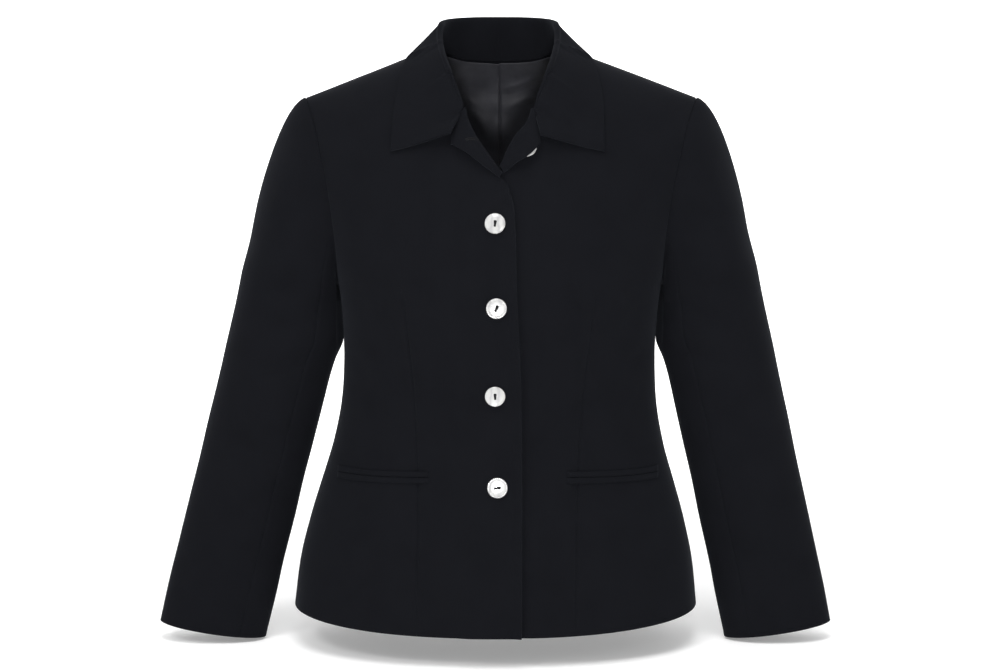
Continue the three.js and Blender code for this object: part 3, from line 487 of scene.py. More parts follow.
front_creases = {
    "right": creases([
        (70, -212, 92, -262, 3, 7, 1.5), (112, -214, 99, -300, -3, 8, 1.1),
        (150, -244, 118, -272, 4, 9, 1.2), (152, -300, 128, -326, 3, 9, 1.1),
        (150, -330, 120, -344, -3, 8, 0.9), (60, -330, 30, -352, 3, 10, 0.7),
        (140, -404, 168, -402, 2, 8, 0.8), (128, -430, 120, -545, -4, 16, 1.0),
        (48, -440, 42, -560, 3, 15, 0.8), (150, -140, 128, -190, 6, 10, 1.2),
        (64, -118, 84, -170, -4, 12, 0.8), (26, -250, 40, -300, 3, 11, 0.6)]),
    "left": creases([
        (74, -206, 96, -258, 3, 7, 1.5), (116, -204, 100, -290, -3, 8, 1.2),
        (150, -250, 122, -276, 4, 9, 1.1), (152, -296, 124, -318, 3, 9, 1.2),
        (148, -334, 116, -350, -3, 8, 0.9), (58, -322, 32, -340, 3, 10, 0.7),
        (132, -428, 126, -548, -4, 16, 1.0), (52, -436, 44, -556, 3, 15, 0.9),
        (40, -190, 52, -250, 3, 12, 0.7), (148, -136, 130, -186, 6, 10, 1.1),
        (60, -122, 80, -176, -4, 12, 0.8), (168, -500, 150, -560, 4, 14, 1.0)]),
}


def front_places(side):
    edge = right_edge if side == "right" else (lambda z: LEFT_EDGE)
    folds = front_creases[side]
    mirror = -1 if side == "right" else 1

    def lift(q, z):
        below_break = smooth((BREAK - z) / 30)
        if side == "right":
            lap = lap_lift(q) + EDGE_SPRING * (1 - smooth((q - edge(z)) / 9)) * below_break
        else:
            lap = -EDGE_PRESS * math.exp(-(((q + right_edge(z) - 2.5) / 4.5) ** 2)) * below_break
        quiet = smooth((BREAK - z) / 40) if q < 60 else 1
        return lap - dart_groove(q, z) + (unevenness((q * mirror, z, 1), 48, 0.4) - folds(q, z)) * quiet

    return panel_places(FRONT, edge, dart_line, front_share, lift)


front_right = spread_cloth("front_panel_right", 96, 190, front_places("right"), (0.27, 0.57), side=-1)
front_left = spread_cloth("front_panel_left", 96, 190, front_places("left"), (0.27, 0.57))
for front, node in ((front_right, "front_right"), (front_left, "front_left")):
    give_thickness(front, CLOTH)
    front.data.materials.append(black_suiting)
    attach(front, "root")
    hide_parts(node)

# ---------------------------------------------------------------------------
# Sleeves: a top and an under panel each, eased into the armhole with a roped head.
# They hang straight down beside the body, just off it, and end in plain turned cuffs.

ARMHOLE_GAP = 0.4
ARMHOLE_STEPS = 480
HEAD_ROPE = 0.8           # the sleeve head stands over its seam
SLEEVE_CLEAR = 0.9
ARMPIT_GAP = 7            # the sleeve's front leaves the body by this much below the armhole
BESIDE_BELOW = -120       # above this height the shoulder rolls away from the sleeve
BICEPS, CUFF = -245, -592.4
SLEEVE_TILT = math.radians(8.8)
FRONT_SEAM, BACK_SEAM = 123, 236   # degrees round from the outside of the arm

ring_outer = curve_through([
    (-245, 264), (-285, 273.5), (-325, 282.6), (-365, 292), (-425, 306.2), (-485, 320.4), (-545, 335.1),
    (-592.4, 345.5)])
ring_inner = curve_through([
    (-245, 155), (-285, 159), (-305, 167), (-325, 173.3), (-365, 183), (-425, 197.8), (-485, 211.8),
    (-545, 225.6), (-592.4, 236.3)])
ring_depth = curve_through([
    (-245, 50), (-285, 49.5), (-325, 47.5), (-365, 44.5), (-425, 39), (-485, 34), (-545, 29.5), (-592.4, 27)])
ring_forward = curve_through([
    (-245, 1), (-285, 2), (-325, 3), (-365, 4), (-425, 6.5), (-485, 9), (-545, 11.5), (-592.4, 13)])


def armhole_points():
    """The armhole's edge, evenly spaced from its top, down the front and up the back."""
    fine = []
    for k in range(ARMHOLE_STEPS):
        face = FRONT if k < ARMHOLE_STEPS // 2 else BACK
        turn = math.tau * k / ARMHOLE_STEPS
        z = mix(ARMHOLE_TOP, ARMHOLE_FOOT, (1 - math.cos(turn)) / 2)
        q = oval_out(outer_angle(face, max(z, ARMHOLE_FOOT + 1e-6)), z)
        z = min(z, shoulder_line(q))
        y = form_y(face, q, z)
        fine.append((Vector((q, y, z)), outward(face, q, z, y)))
    walked = [0.0]
    for k in range(ARMHOLE_STEPS):
        walked.append(walked[-1] + (fine[(k + 1) % ARMHOLE_STEPS][0] - fine[k][0]).length)
    return fine, walked


armhole, armhole_walk = armhole_points()


def along_armhole(degrees):
    goal = (degrees % 360) / 360 * armhole_walk[-1]
    low, high = 0, ARMHOLE_STEPS - 1
    while low < high:
        middle = (low + high + 1) // 2
        if armhole_walk[middle] <= goal:
            low = middle
        else:
            high = middle - 1
    t = (goal - armhole_walk[low]) / (armhole_walk[low + 1] - armhole_walk[low])
    a, b = armhole[low], armhole[(low + 1) % ARMHOLE_STEPS]
    before, after = armhole[low - 2][0], armhole[(low + 3) % ARMHOLE_STEPS][0]
    tangent = (after - before).normalized()
    normal = a[1].lerp(b[1], t)
    normal = (normal - tangent * normal.dot(tangent)).normalized()
    return a[0].lerp(b[0], t), normal, normal.cross(tangent).normalized()


def beside_form(point, distance):
    """Moves a sleeve point straight out of the form's oval until it stands this far off."""
    moved = point.copy()
    depth = form_depth(FRONT if point.y < 0 else BACK, point.z)
    width = form_width(point.z)
    for _ in range(5):
        share_x = abs(moved.x / width) ** ROUNDNESS
        share_y = abs(moved.y / depth) ** ROUNDNESS
        reach = (share_x + share_y) ** (1 / ROUNDNESS)
        slope = Vector((share_x / moved.x, share_y / (moved.y or 1), 0)) * reach ** (1 - ROUNDNESS)
        off = (reach - 1) / slope.length
        if off >= distance:
            break
        moved += slope.normalized() * (distance - off)
    return moved


def clear_of_body(point, share=1.0):
    """The sleeve stands just off the body, and its front more so below the armhole."""
    armpit = ARMPIT_GAP * smooth((-200 - point.z) / 90) * smooth(-point.y / 25)
    return beside_form(point, (SLEEVE_CLEAR + armpit) * share)


def sleeve_ring(degrees, z):
    angle = math.radians(degrees)
    outer, inner = ring_outer(z), ring_inner(z)
    half = (outer - inner) / 2
    return Vector((
        (outer + inner) / 2 + half * math.cos(angle),
        -ring_forward(z) - ring_depth(z) * math.sin(angle),
        z + half * math.cos(angle) * math.tan(SLEEVE_TILT)))


def sleeve_head(degrees, t):
    """From the roped edge (0) to the biceps (1)."""
    angle = math.radians(degrees)
    high = (1 + math.cos(angle)) / 2
    point, normal, into = along_armhole(degrees)
    start = point + normal * HEAD_ROPE + into * (HEAD_ROPE + ARMHOLE_GAP)
    end = sleeve_ring(degrees, BICEPS)
    leave = Vector((mix(4, 104, high), -14 * math.sin(angle), -mix(10, 44, high)))
    arrive = Vector((0.235, -0.02, -0.97)) * mix(14, 96, high)
    return (start * (2 * t**3 - 3 * t**2 + 1) + leave * (t**3 - 2 * t**2 + t)
            + end * (3 * t**2 - 2 * t**3) + arrive * (t**3 - t**2))


HEAD_SHARE = 0.36         # share of the sleeve's rows that lie above the biceps
ROPE_SHARE = 0.012        # share of them that turn down into the armhole seam


def sleeve_point(degrees, v):
    if v < ROPE_SHARE:
        point, normal, into = along_armhole(degrees)
        bend = v / ROPE_SHARE * math.pi / 2
        return (point + into * (ARMHOLE_GAP + HEAD_ROPE * (1 - math.cos(bend)))
                + normal * (HEAD_ROPE * math.sin(bend) - 1.2 * math.cos(bend)))
    if v < HEAD_SHARE:
        t = (v - ROPE_SHARE) / (HEAD_SHARE - ROPE_SHARE)
        point = sleeve_head(degrees, t)
        return point if point.z > BESIDE_BELOW else clear_of_body(point, smooth(t * 6))
    z = mix(BICEPS, CUFF, (v - HEAD_SHARE) / (1 - HEAD_SHARE))
    return clear_of_body(sleeve_ring(degrees, z))


# Here q counts degrees round the arm and z the height, so a crease bends with the sleeve.
sleeve_creases = {
    "right": creases([
        (150, -262, 60, -292, 8, 11, 1.6), (130, -300, 66, -330, -6, 10, 1.3),
        (110, -232, 52, -250, 6, 12, 1.3), (100, -372, 150, -392, 5, 10, 1.3),
        (40, -392, 108, -418, -6, 12, 1.2), (36, -430, 96, -446, 5, 13, 0.9),
        (10, -492, 70, -520, 6, 16, 0.9), (-20, -168, 40, -205, 9, 18, 0.9),
        (60, -120, 84, -190, 10, 11, 0.9), (210, -270, 290, -296, 8, 11, 1.6),
        (-60, -366, -130, -392, 6, 12, 1.4), (-30, -420, -100, -440, -5, 13, 1.1),
        (-70, -120, -86, -190, -10, 12, 1.0)]),
    "left": creases([
        (152, -258, 64, -282, 8, 11, 1.5), (134, -292, 60, -318, -6, 10, 1.4),
        (112, -226, 56, -248, 6, 12, 1.2), (96, -366, 150, -384, 5, 10, 1.3),
        (46, -386, 112, -404, -6, 12, 1.3), (30, -424, 92, -448, 5, 13, 1.0),
        (16, -498, 76, -516, 6, 16, 0.8), (-16, -160, 44, -200, 9, 18, 1.0),
        (62, -112, 86, -184, 10, 11, 1.0), (210, -266, 290, -290, 8, 11, 1.6),
        (-56, -360, -126, -388, 6, 12, 1.4), (-26, -416, -96, -436, -5, 13, 1.1),
        (-66, -118, -88, -188, -10, 12, 1.0)]),
}


SEAM_TRIM = 0.03


def top_degrees(u):
    """Columns of the top sleeve crowd round the outside of the arm."""
    s = 2 * u - 1
    return math.copysign(abs(s) ** 1.25, s) * ((FRONT_SEAM if s > 0 else 360 - BACK_SEAM) - SEAM_TRIM)


def under_degrees(u):
    return mix(FRONT_SEAM + SEAM_TRIM, BACK_SEAM - SEAM_TRIM, u)


def sleeve_places(side, degrees_at):
    folds = sleeve_creases[side]

    def place(u, v):
        degrees = degrees_at(u)
        point = sleeve_point(degrees, v)
        if v <= ROPE_SHARE:
            return point
        centre = Vector(((ring_outer(point.z) + ring_inner(point.z)) / 2 if point.z < BICEPS else
                         mix(190, 210, clamp(-point.z / 245)), -ring_forward(point.z), point.z))
        out = (point - centre).normalized()
        free = smooth((v - ROPE_SHARE) / 0.1)
        away = smooth((point.x - form_width(point.z) - 1) / 8) if point.z < -235 else 1
        bend = (unevenness((degrees * 0.9, point.z, 5), 50, 0.7) - folds(degrees, point.z)) * free
        seam = min(abs(degrees - FRONT_SEAM), abs(degrees - BACK_SEAM), abs(degrees + 360 - BACK_SEAM))
        draw = 0.35 * math.exp(-((seam / 1.4) ** 2)) * smooth((v - 0.2) / 0.1)
        return point + out * ((bend - draw) * away)

    return place


for side, mirror in (("right", -1), ("left", 1)):
    top = spread_cloth(
        "top_sleeve_" + side, 90, 210, sleeve_places(side, top_degrees), (0.21, 0.62), side=mirror)
    under = spread_cloth(
        "under_sleeve_" + side, 44, 210, sleeve_places(side, under_degrees), (0.12, 0.42), side=mirror)
    for panel, node, size, area in (
            (top, "sleeve_top_", (0.23, 0.62), 0.112), (under, "sleeve_under_", (0.12, 0.45), 0.035)):
        panel.data.flip_normals()
        give_thickness(panel, CLOTH)
        panel.data.materials.append(black_suiting)
        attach(panel, "root")
        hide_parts(node + side)

# ---------------------------------------------------------------------------
# Collar: one folded piece with its stand, sewn round the neck. The fall lies on the
# shoulders and comes forward to two points, each lying flat on its front.

COLLAR_WALL = 2.4
FALL_LIFT = 0.9
NECK_SEAM_GAP = 0.4
NOTCH_LIFT = 10           # the fall stands off the front at the notch
COLLAR_POINT = (103.5, -98.8)
GORGE_TOP = (34.6, -57.6)
GORGE_END = {"right": (46, -85), "left": (39.5, -86.5)}
POINT_FLARE = {"right": 2.8, "left": -3}   # the points hang a little unevenly
SHOULDER_STATION, LAST_STATION = 4, 10

# Half of the collar from the centre back to the gorge: seam on the neckline (out), crest
# (out, deep, up), and the fall's edge (out, and its roll round the shoulder in degrees).
COLLAR_HALF = [
    (0, 0, 66, 30, 0, -73), (34, 30, 61, 30, 41, -62), (53, 49, 44, 29.4, 68, -46),
    (64, 57.5, 26, 28, 80.5, -25), (69, 59.5, 8, 25, 86, 1), (67, 60.5, -8, 14.5, 92, 20),
    (61.5, 58.5, -24, 4, 96.8, 39), (54, 55, -40, -8, 99.8, 55), (47, 50, -54, -21, 102, 69),
    (41.5, 43.5, -66, -39, 102.7, 79), (37, 35.5, -79.5, -56, 103.2, 88)]
collar_neck, collar_x, collar_y, collar_z, collar_edge, collar_roll = (
    curve_through([(i, row[k]) for i, row in enumerate(COLLAR_HALF)]) for k in range(6))


def keep_above(point, height):
    """Lifts a point off the form until it stands at least this high."""
    face = FRONT if point.y < 0 else BACK
    lifted = point.copy()
    for _ in range(8):
        z = min(lifted.z, shoulder_line(lifted.x) - 0.01)
        y = form_y(face, lifted.x, z)
        normal = outward(face, lifted.x, z, y)
        above = (lifted - Vector((lifted.x, y, z))).dot(normal)
        if above < height:
            lifted += normal * (height - above)
    return lifted


def behind(at):
    return at < SHOULDER_STATION - 1e-6


def neck_seam(at):
    q = min(collar_neck(at), NECK_HALF_WIDTH)
    z = min((back_neckline if behind(at) else front_neckline)(q), shoulder_line(q))
    return Vector((q, form_y(BACK if behind(at) else FRONT, q, z), z))


def crest(at):
    return Vector((collar_x(at), collar_y(at), collar_z(at)))


def tangent_of(curve, at):
    return (curve(min(LAST_STATION, at + 0.2)) - curve(max(0, at - 0.2))).normalized()


def fall_edge(side, at, lift):
    q = collar_edge(at) + POINT_FLARE[side] * smooth((at / LAST_STATION - 0.45) / 0.55)
    degrees = collar_roll(at)
    angle = math.radians(abs(degrees))
    drop = SHOULDER_ROLL * (1 - math.cos(angle) if angle < math.pi / 2 else 1 + angle - math.pi / 2)
    return on_form(BACK if degrees < 0 else FRONT, q, shoulder_line(q) - drop, lift)


def folded_section(side, at):
    """Middle of the cloth across the collar: up the stand, over the crest, down the fall."""
    seat = neck_seam(at)
    seat_normal = outward(BACK if behind(at) else FRONT, seat.x, seat.z, seat.y)
    into_neck = tangent_of(neck_seam, at).cross(seat_normal).normalized()
    lap = lap_lift(seat.x) if side == "right" else 0
    rise = (CLOTH + FALL_LIFT + lap) * smooth((at / LAST_STATION - 0.84) / 0.16)
    seat += into_neck * NECK_SEAM_GAP + seat_normal * rise
    tangent = tangent_of(crest, at)
    edge = fall_edge(side, at, FALL_LIFT + COLLAR_WALL / 2)
    across = edge - seat
    across = (across - tangent * across.dot(tangent)).normalized()
    up = crest(at) - seat
    bend = min(2.6, 0.22 * up.length)
    up = up - tangent * up.dot(tangent)
    up = (up - across * up.dot(across)).normalized()
    top = crest(at) - up * (COLLAR_WALL / 2)

    def clear_of(point):
        lap_here = lap_lift(point.x) if side == "right" else 0
        return keep_above(point, FALL_LIFT + lap_here + COLLAR_WALL / 2)

    outside = top - up * bend + across * bend
    pushed = Vector() if behind(at) else clear_of(outside) - outside
    outside += pushed
    top += pushed
    inside = top - up * bend - across * bend
    seat_middle = seat - seat_normal * (CLOTH / 2)
    section = [seat_middle, seat_middle.lerp(inside, 0.5), inside, top, outside]
    section += [clear_of(outside.lerp(edge, share)) for share in (0.28, 0.55, 0.8)]
    return section + [edge]


def flat_section(side, share):
    """Across the collar's end, from the gorge seam to its outer edge."""
    gorge = GORGE_END[side]
    start = (mix(GORGE_TOP[0], gorge[0], share), mix(GORGE_TOP[1], gorge[1], share))
    last = fall_edge(side, LAST_STATION, 0)
    end = (mix(last.x, COLLAR_POINT[0] + POINT_FLARE[side], share), mix(last.z, COLLAR_POINT[1], share))
    section = []
    for across in (0, 0.03, 0.06, 0.09, 0.12, 0.36, 0.6, 0.82, 1):
        q, z = mix(start[0], end[0], across), mix(start[1], end[1], across)
        lap = lap_lift(q) if side == "right" else 0
        notch = NOTCH_LIFT * smooth(share) * (1 - smooth(across / 0.8))
        section.append(on_form(FRONT, q, z, FALL_LIFT + lap + notch + COLLAR_WALL / 2))
    return section


def through_points(points, t):
    """A smooth curve through the points of a section, t from 0 to 1."""
    place = clamp(t) * (len(points) - 1)
    i = min(len(points) - 2, int(place))
    f = place - i
    a, b = points[i], points[i + 1]
    before = points[i - 1] if i > 0 else a * 2 - b
    after = points[i + 2] if i + 2 < len(points) else b * 2 - a
    cubed = (a - b) * 3 + after - before
    squared = before * 2 - a * 5 + b * 4 - after
    return (cubed * f**3 + squared * f**2 + (b - before) * f) * 0.5 + a


FOLDED_SHARE = 0.86       # share of half the collar that is folded; the rest is its flat end
collar_sections = {}


def collar_place(u, v):
    side = "right" if u < 0.5 else "left"
    half = abs(2 * u - 1)
    key = (side, round(half, 6))
    if key not in collar_sections:
        if half < FOLDED_SHARE:
            at = half / FOLDED_SHARE * LAST_STATION
            collar_sections[key] = folded_section(side, at)
        else:
            share = (half - FOLDED_SHARE) / (1 - FOLDED_SHARE)
            flat = flat_section(side, share)
            folded = folded_section(side, LAST_STATION)
            blend = smooth(share / 0.35)
            collar_sections[key] = [f.lerp(g, blend) for f, g in zip(
                [p + (q - r) for p, q, r in zip(folded, flat, flat_section(side, 0))], flat)]
    across = clamp(0.5 * v + 0.5 * v**1.25)
    point = through_points(collar_sections[key], across)
    return Vector((-point.x if side == "right" else point.x, point.y, point.z))


collar = spread_cloth("folded_collar", 170, 44, collar_place, (0.46, 0.085))
give_thickness(collar, COLLAR_WALL, offset=0, rounding=0.8)
collar.data.materials.append(black_suiting)
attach(collar, "root")
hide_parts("collar")

# ---------------------------------------------------------------------------
# Revers: the tops of the fronts, turned back below the collar. The cloth rolls over the
# fold line, and its free edge runs from the notch down to the break above the first button.
# The right one shows the buttonhole of the neck button, worked in black thread.

REVERS_LIFT = 0.5
NECK_BUTTON = (27, -94)
BUTTON_THICKNESS = 2.2
ROLL_RADIUS = 2.0
REVERS_STAND = 6          # its free edge springs off the front
GORGE_SHARE = 0.83        # share of its top edge that is sewn to the collar, down to the notch
# From the gorge to the break: fold line (out, up) and free edge (out, up).
REVERS = {
    "right": [(35.2, -61.5, 45.5, -92.5), (30, -74, 37, -97.5), (23, -86.7, 27.5, -103.5),
              (13.2, -100.3, 16.5, -111.5), (-3, -119.8, -1.4, -123.6)],
    "left": [(34.5, -61, 38.8, -92.5), (28.5, -73.3, 33.5, -99.5), (19, -84.7, 25.5, -106),
             (11.5, -97.2, 16, -111), (2.2, -113.5, 5.5, -118.5)],
}


def neck_button_rise(q, z):
    """The left revers rides up over the unfastened neck button that lies beneath it."""
    distance = math.hypot(q - NECK_BUTTON[0], z - NECK_BUTTON[1])
    return (BUTTON_THICKNESS + 0.6) * (1 - smooth((distance - 12.5) / 11))


def gorge_point(side, t):
    """Along the top edge of the revers: down the gorge seam to the notch, and on to its tip."""
    start, notch, tip = GORGE_TOP, GORGE_END[side], REVERS[side][0][2:]
    if t < GORGE_SHARE:
        s = t / GORGE_SHARE
        return mix(start[0], notch[0], s) - 0.6, mix(start[1], notch[1], s) - 0.3
    s = (t - GORGE_SHARE) / (1 - GORGE_SHARE)
    return mix(notch[0], tip[0], s) - 0.6 * (1 - s), mix(notch[1], tip[1], s) - 0.3 * (1 - s)


def revers_places(side):
    columns = [curve_through([(i / 4, row[k]) for i, row in enumerate(REVERS[side])]) for k in range(4)]

    def place(u, v):
        fold_q, fold_z, edge_q, edge_z = (read(u) for read in columns)
        t = max(0.0, (v - 0.2) / 0.8)
        q, z = mix(fold_q, edge_q, t), mix(fold_z, edge_z, t)
        sewn = gorge_point(side, t)
        near_gorge = 1 - smooth(u / 0.16)
        q, z = mix(q, sewn[0], near_gorge), mix(z, sewn[1], near_gorge)
        spring = REVERS_STAND * math.sin(math.pi * clamp(u * 1.1)) ** 0.7 * smooth(t)
        lift = REVERS_LIFT + (lap_lift(q) if side == "right" else neck_button_rise(q, z)) + CLOTH / 2
        point = on_form(FRONT, q, z, lift + spring)
        if v >= 0.2:
            return point
        ahead = min(1.0, u + 0.05)
        run_q, run_z = (read(ahead) - read(ahead - 0.05) for read in columns[:2])
        into = Vector((run_z, 0, -run_q)).normalized()
        normal = outward(FRONT, q, z, point.y)
        angle = (0.2 - v) / 0.2 * math.pi * 0.9
        radius = ROLL_RADIUS * (1 - 0.7 * smooth((u - 0.7) / 0.3))
        return point + into * (radius * math.sin(angle)) - normal * (radius * (1 - math.cos(angle)))

    return place


for side, mirror in (("right", -1), ("left", 1)):
    revers = spread_cloth("turned_revers_" + side, 60, 30, revers_places(side), (0.065, 0.035), side=mirror)
    if side == "right":
        revers.data.flip_normals()
    give_thickness(revers, CLOTH, offset=0, rounding=0.7)
    revers.data.materials.append(black_suiting)
    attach(revers, "root")
    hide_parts("revers_" + side)

thread, _ = new_material("black thread", {"Roughness": 0.7, "Specular IOR Level": 0.2})
twist = add_texture(thread, "Wave", "Object", {"Scale": 1200})
twist.bands_direction = "DIAGONAL"
colour_by(thread, twist.outputs["Fac"], (0, 0.0022, 0.0023, 0.0028), (1, 0.0065, 0.0067, 0.008))

STITCHES = 24
STITCH_BITE = 0.9         # from the slit to the middle of a stitch


def worked_buttonhole(name, slit, mirror):
    """Close stitches on both sides of a slit and a bar at each end; slit(s) gives a place and its normal."""
    bm = bmesh.new()
    for k in range(STITCHES + 1):
        s = k / STITCHES
        here, out = slit(s)
        run = (slit(min(1, s + 0.03))[0] - slit(max(0, s - 0.03))[0]).normalized()
        across = run.cross(out).normalized()
        turn = Matrix((across, out.cross(across), out)).transposed().to_4x4()
        at_end = k in (0, STITCHES)
        for row in ((0,) if at_end else (-1, 1)):
            seat = Matrix.Translation(here + across * row * STITCH_BITE) @ turn
            reach = STITCH_BITE * (1.9 if at_end else 0.85)
            bmesh.ops.create_uvsphere(bm, u_segments=6, v_segments=5, radius=1,
                                      matrix=seat @ Matrix.Diagonal((reach, 0.3, 0.32, 1)))
    for vert in bm.verts:
        vert.co = hang(Vector((vert.co.x * mirror, vert.co.y, vert.co.z)))
    bmesh.ops.recalc_face_normals(bm, faces=bm.faces[:])
    hole = finish_mesh(name, bm)
    hole.data.materials.append(thread)
    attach(hole, "root")


right_revers = revers_places("right")


def neck_slit(s):
    """The neck button's hole lies level on the right revers and runs on to its roll."""
    u, v = mix(0.33, 0.56, s), mix(0.64, 0.14, s)
    here = right_revers(u, v)
    out = (right_revers(u + 0.01, v) - here).cross(right_revers(u, v + 0.01) - here).normalized()
    return here + out * (CLOTH / 2 + 0.1), out


worked_buttonhole("buttonhole_neck", neck_slit, -1)

# ---------------------------------------------------------------------------
# Pockets: a slit in each front with two narrow jets of folded cloth, one above the other,
# whose ends are sewn down into the front.

POCKET_INNER, POCKET_OUTER, POCKET_TOP, POCKET_DROOP = 66, 162, -410.5, 4
JET_HEIGHT, JET_CLEAR, JET_PROUD = 6, 0.7, 1.15


def jet_places(level):
    first = POCKET_TOP - (JET_HEIGHT + HALF_SEAM if level == "lower" else 0)
    last = POCKET_TOP - (2 * JET_HEIGHT if level == "lower" else JET_HEIGHT - HALF_SEAM)

    def place(u, v):
        q = mix(POCKET_INNER, POCKET_OUTER, u)
        z = mix(first, last, v) - POCKET_DROOP * u
        crown = 1 - abs(2 * v - 1) ** 3
        sewn_down = smooth((0.035 - min(u, 1 - u)) / 0.035)
        return on_form(FRONT, q, z, mix(JET_CLEAR + JET_PROUD * (0.35 + 0.65 * crown), -0.5, sewn_down))

    return place


for side, mirror in (("right", -1), ("left", 1)):
    for level in ("upper", "lower"):
        jet = spread_cloth(f"jet_{level}_{side}", 70, 10, jet_places(level), (0.098, 0.006), side=mirror)
        give_thickness(jet, 0.9, rounding=0.25)
        jet.data.materials.append(black_suiting)
        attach(jet, "root")
        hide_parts(f"welt_{level}_{side}")

# ---------------------------------------------------------------------------
# Buttons: white shell discs with a low rim, turned on a lathe and drilled with two holes,
# each sewn on with a bar of black thread. The neck button lies under the left revers.

HOLE_OFFSET = 2.1
HOLE_RADIUS = 1.15
BAR_HALF_LENGTH = 3.5
STRAND_GAP = 0.33
STRAND_HEIGHT = 1.72      # of the bar's middle strand, above the button's back

shell, _ = new_material("white shell", {
    "Roughness": 0.22, "Specular IOR Level": 0.6, "Coat Weight": 0.35, "Coat Roughness": 0.08,
    "Subsurface Weight": 0.08, "Subsurface Radius": (0.002, 0.0018, 0.0015)})
layers = add_texture(shell, "Wave", "Object", {
    "Scale": 42, "Distortion": 5, "Detail": 3, "Detail Scale": 2})
colour_by(shell, layers.outputs["Fac"], (0, 0.35, 0.35, 0.35), (0.4, 0.425, 0.42, 0.42),
          (1, 0.455, 0.455, 0.445))


def seat_of(x, z, lift):
    """Turns a shape made lying on XY into its place on the front."""
    y = form_y(FRONT, abs(x), z)
    normal = outward(FRONT, abs(x), z, y)
    normal.x *= math.copysign(1, x)
    seat = hang(Vector((x, y, z)) + normal * lift)
    return Matrix.Translation(seat) @ normal.to_track_quat("Z", "Y").to_matrix().to_4x4()


def turned_disc():
    """The lathe profile, half a section from the back's middle round the rim to the front's."""
    bm = bmesh.new()
    profile = [(0, 0), (8.9, 0), (9.7, 0.35), (10, 1.05), (9.8, 1.75), (9.2, 2.2), (8.5, 2.12),
               (7.8, 1.75), (7.0, 1.6), (4.0, 1.5), (0, 1.5)]
    points = [bm.verts.new((radius * MM, 0, height * MM)) for radius, height in profile]
    for a, b in zip(points, points[1:]):
        bm.edges.new((a, b))
    bmesh.ops.spin(bm, geom=bm.verts[:] + bm.edges[:], axis=(0, 0, 1), cent=(0, 0, 0),
                   angle=math.tau, steps=72, use_merge=True, use_duplicate=False)
    bmesh.ops.remove_doubles(bm, verts=bm.verts[:], dist=1e-6)
    bmesh.ops.recalc_face_normals(bm, faces=bm.faces[:])
    return bm


def drilled_button(name, x, z, lift, turn):
    disc = finish_mesh("shell_" + name, turned_disc())
    for side in (-1, 1):
        bm = bmesh.new()
        bmesh.ops.create_cone(bm, cap_ends=True, segments=24, radius1=HOLE_RADIUS * MM,
                              radius2=HOLE_RADIUS * MM, depth=8 * MM)
        bmesh.ops.translate(bm, verts=bm.verts[:], vec=(side * HOLE_OFFSET * MM, 0, 0))
        drill = finish_mesh("drill", bm)
        cut = disc.modifiers.new("hole", "BOOLEAN")
        cut.operation = "DIFFERENCE"
        cut.object = drill
        bpy.context.view_layer.update()
        drilled = bpy.data.meshes.new_from_object(disc.evaluated_get(bpy.context.evaluated_depsgraph_get()))
        disc.modifiers.clear()
        disc.data = drilled
        bpy.data.objects.remove(drill)
    disc.data.transform(seat_of(x, z, lift) @ Matrix.Rotation(turn, 4, "Z"))
    disc.data.shade_smooth()
    rim = disc.modifiers.new("polished edge", "BEVEL")
    rim.width = 0.12 * MM
    rim.segments = 2
    rim.limit_method = "ANGLE"
    rim.angle_limit = math.radians(40)
    disc.data.materials.append(shell)
    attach(disc, "root")
    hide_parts(name)


def thread_bar(name, x, z, lift, turn):
    """Strands of thread that lie side by side from one hole to the other."""
    bm = bmesh.new()
    for k in range(-3, 4):
        strand = bmesh.ops.create_uvsphere(bm, u_segments=10, v_segments=14, radius=1)["verts"]
        reach = BAR_HALF_LENGTH - 0.1 * abs(k)
        bmesh.ops.scale(bm, verts=strand, vec=(reach * MM, 0.26 * MM, 0.4 * MM))
        bmesh.ops.rotate(bm, verts=strand, cent=(0, 0, 0), matrix=Matrix.Rotation(0.04 * k, 3, "Z"))
        height = STRAND_HEIGHT - 0.04 * abs(k)
        bmesh.ops.translate(bm, verts=strand, vec=(0, k * STRAND_GAP * MM, height * MM))
    bar = finish_mesh(name, bm)
    bar.data.transform(seat_of(x, z, lift) @ Matrix.Rotation(turn, 4, "Z"))
    bar.data.materials.append(thread)
    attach(bar, "root")


def upright_slit(q, z):
    """A front button covers the whole of its buttonhole."""
    def slit(s):
        height = z + mix(9.5, -9.5, s)
        out = outward(FRONT, q, height, form_y(FRONT, q, height))
        return on_form(FRONT, q, height, LAP_LIFT + 0.2), out
    return slit


BUTTON_LIFT = LAP_LIFT + 0.45
NECK_BUTTON_LIFT = 0.3    # it is sewn to the left front itself
UPRIGHT, LEVEL = math.pi / 2, 0.1
buttons = (("button_1", -3, -167, UPRIGHT - 0.1), ("button_2", -1.6, -247.2, UPRIGHT - 0.42),
           ("button_3", -3, -334.4, UPRIGHT), ("button_4", -0.8, -425.6, LEVEL))
for name, x, z, turn in buttons:
    drilled_button(name, x, z, BUTTON_LIFT, turn)
    thread_bar("thread_" + name[-1], x, z, BUTTON_LIFT, turn)
    worked_buttonhole("buttonhole_" + name[-1], upright_slit(-x, z), -1)
drilled_button("button_neck", *NECK_BUTTON, NECK_BUTTON_LIFT, UPRIGHT)
thread_bar("thread_neck", *NECK_BUTTON, NECK_BUTTON_LIFT, UPRIGHT)
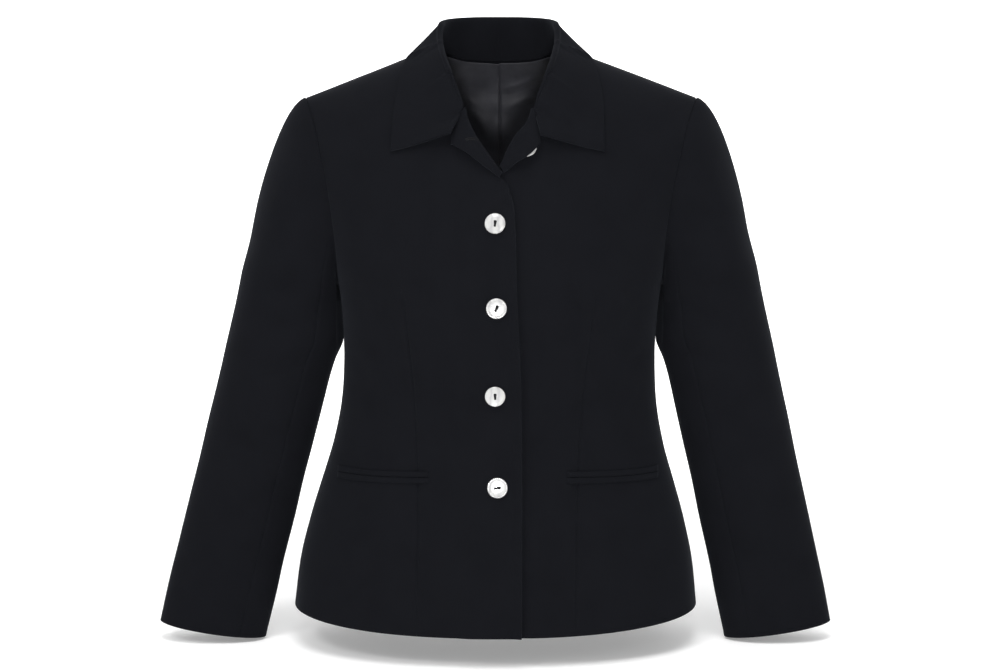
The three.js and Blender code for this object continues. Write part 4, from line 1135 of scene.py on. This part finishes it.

# ---------------------------------------------------------------------------
# Studio: a pale floor just under the cuffs that curves up behind and glows by itself (painted light that
# lifts the blazer's shadow on it, stronger further back), and large soft lamps, with a small low one in front
# that reaches into the neck.

bm = bmesh.new()
bmesh.ops.create_grid(bm, x_segments=4, y_segments=40, size=1)
for vert in bm.verts:
    x, t = vert.co.x * 6, (vert.co.y + 1) / 2
    reach = t * 8 - 4
    bend = clamp((reach - 2.2) / 1.8) * math.pi / 2
    vert.co = Vector((x, min(reach, 2.2) + 1.8 * math.sin(bend), -0.603 + 1.8 * (1 - math.cos(bend))))
    if t == 1:
        vert.co.z += 4
floor = finish_mesh("floor", bm)
glowing_paper, shader = new_material("glowing studio paper", {"Roughness": 0.9, "Emission Color": (1, 1, 1, 1)})
nodes, links = glowing_paper.node_tree.nodes, glowing_paper.node_tree.links
place = nodes.new("ShaderNodeTexCoord")
axes = nodes.new("ShaderNodeSeparateXYZ")
links.new(place.outputs["Object"], axes.inputs["Vector"])
# Painted light: the paper glows, weakly under the blazer, where this lifts its cast shadow, and more strongly
# further back where it curves up.
glow = nodes.new("ShaderNodeMapRange")
for socket, value in (("From Min", 0.3), ("From Max", 1.4), ("To Min", 0.2), ("To Max", 0.9)):
    glow.inputs[socket].default_value = value
links.new(axes.outputs["Y"], glow.inputs["Value"])
links.new(glow.outputs["Result"], shader.inputs["Emission Strength"])
grain = add_texture(glowing_paper, "Noise", "Object", {"Scale": 3})
colour_by(glowing_paper, grain.outputs["Fac"], (0, 0.90, 0.90, 0.90), (1, 0.93, 0.93, 0.93))
floor.data.materials.append(glowing_paper)

for name, spot, aim, size, power in (
        ("key", (-1.5, -2.1, 2.1), (0, 0, -0.25), 0.9, 28),
        ("fill", (2.1, -2.2, 1.1), (0, 0, -0.3), 2.0, 8),
        ("top", (0, -0.9, 2.4), (0, 0, -0.3), 1.7, 48),
        ("low", (0.02, -2.5, -0.38), (0, 0, -0.3), 0.28, 37)):
    lamp = bpy.data.objects.new(name, bpy.data.lights.new(name, "AREA"))
    lamp.data.shape = "DISK"
    lamp.data.size = size
    lamp.data.energy = power
    lamp.location = spot
    lamp.rotation_euler = (Vector(aim) - Vector(spot)).to_track_quat("-Z", "Y").to_euler()
    bpy.context.scene.collection.objects.link(lamp)

world = bpy.data.worlds.new("studio air")
world.use_nodes = True
world.node_tree.nodes["Background"].inputs["Color"].default_value = (1, 1, 1, 1)
world.node_tree.nodes["Background"].inputs["Strength"].default_value = 0.42
bpy.context.scene.world = world
bpy.context.scene.view_settings.view_transform = "Standard"
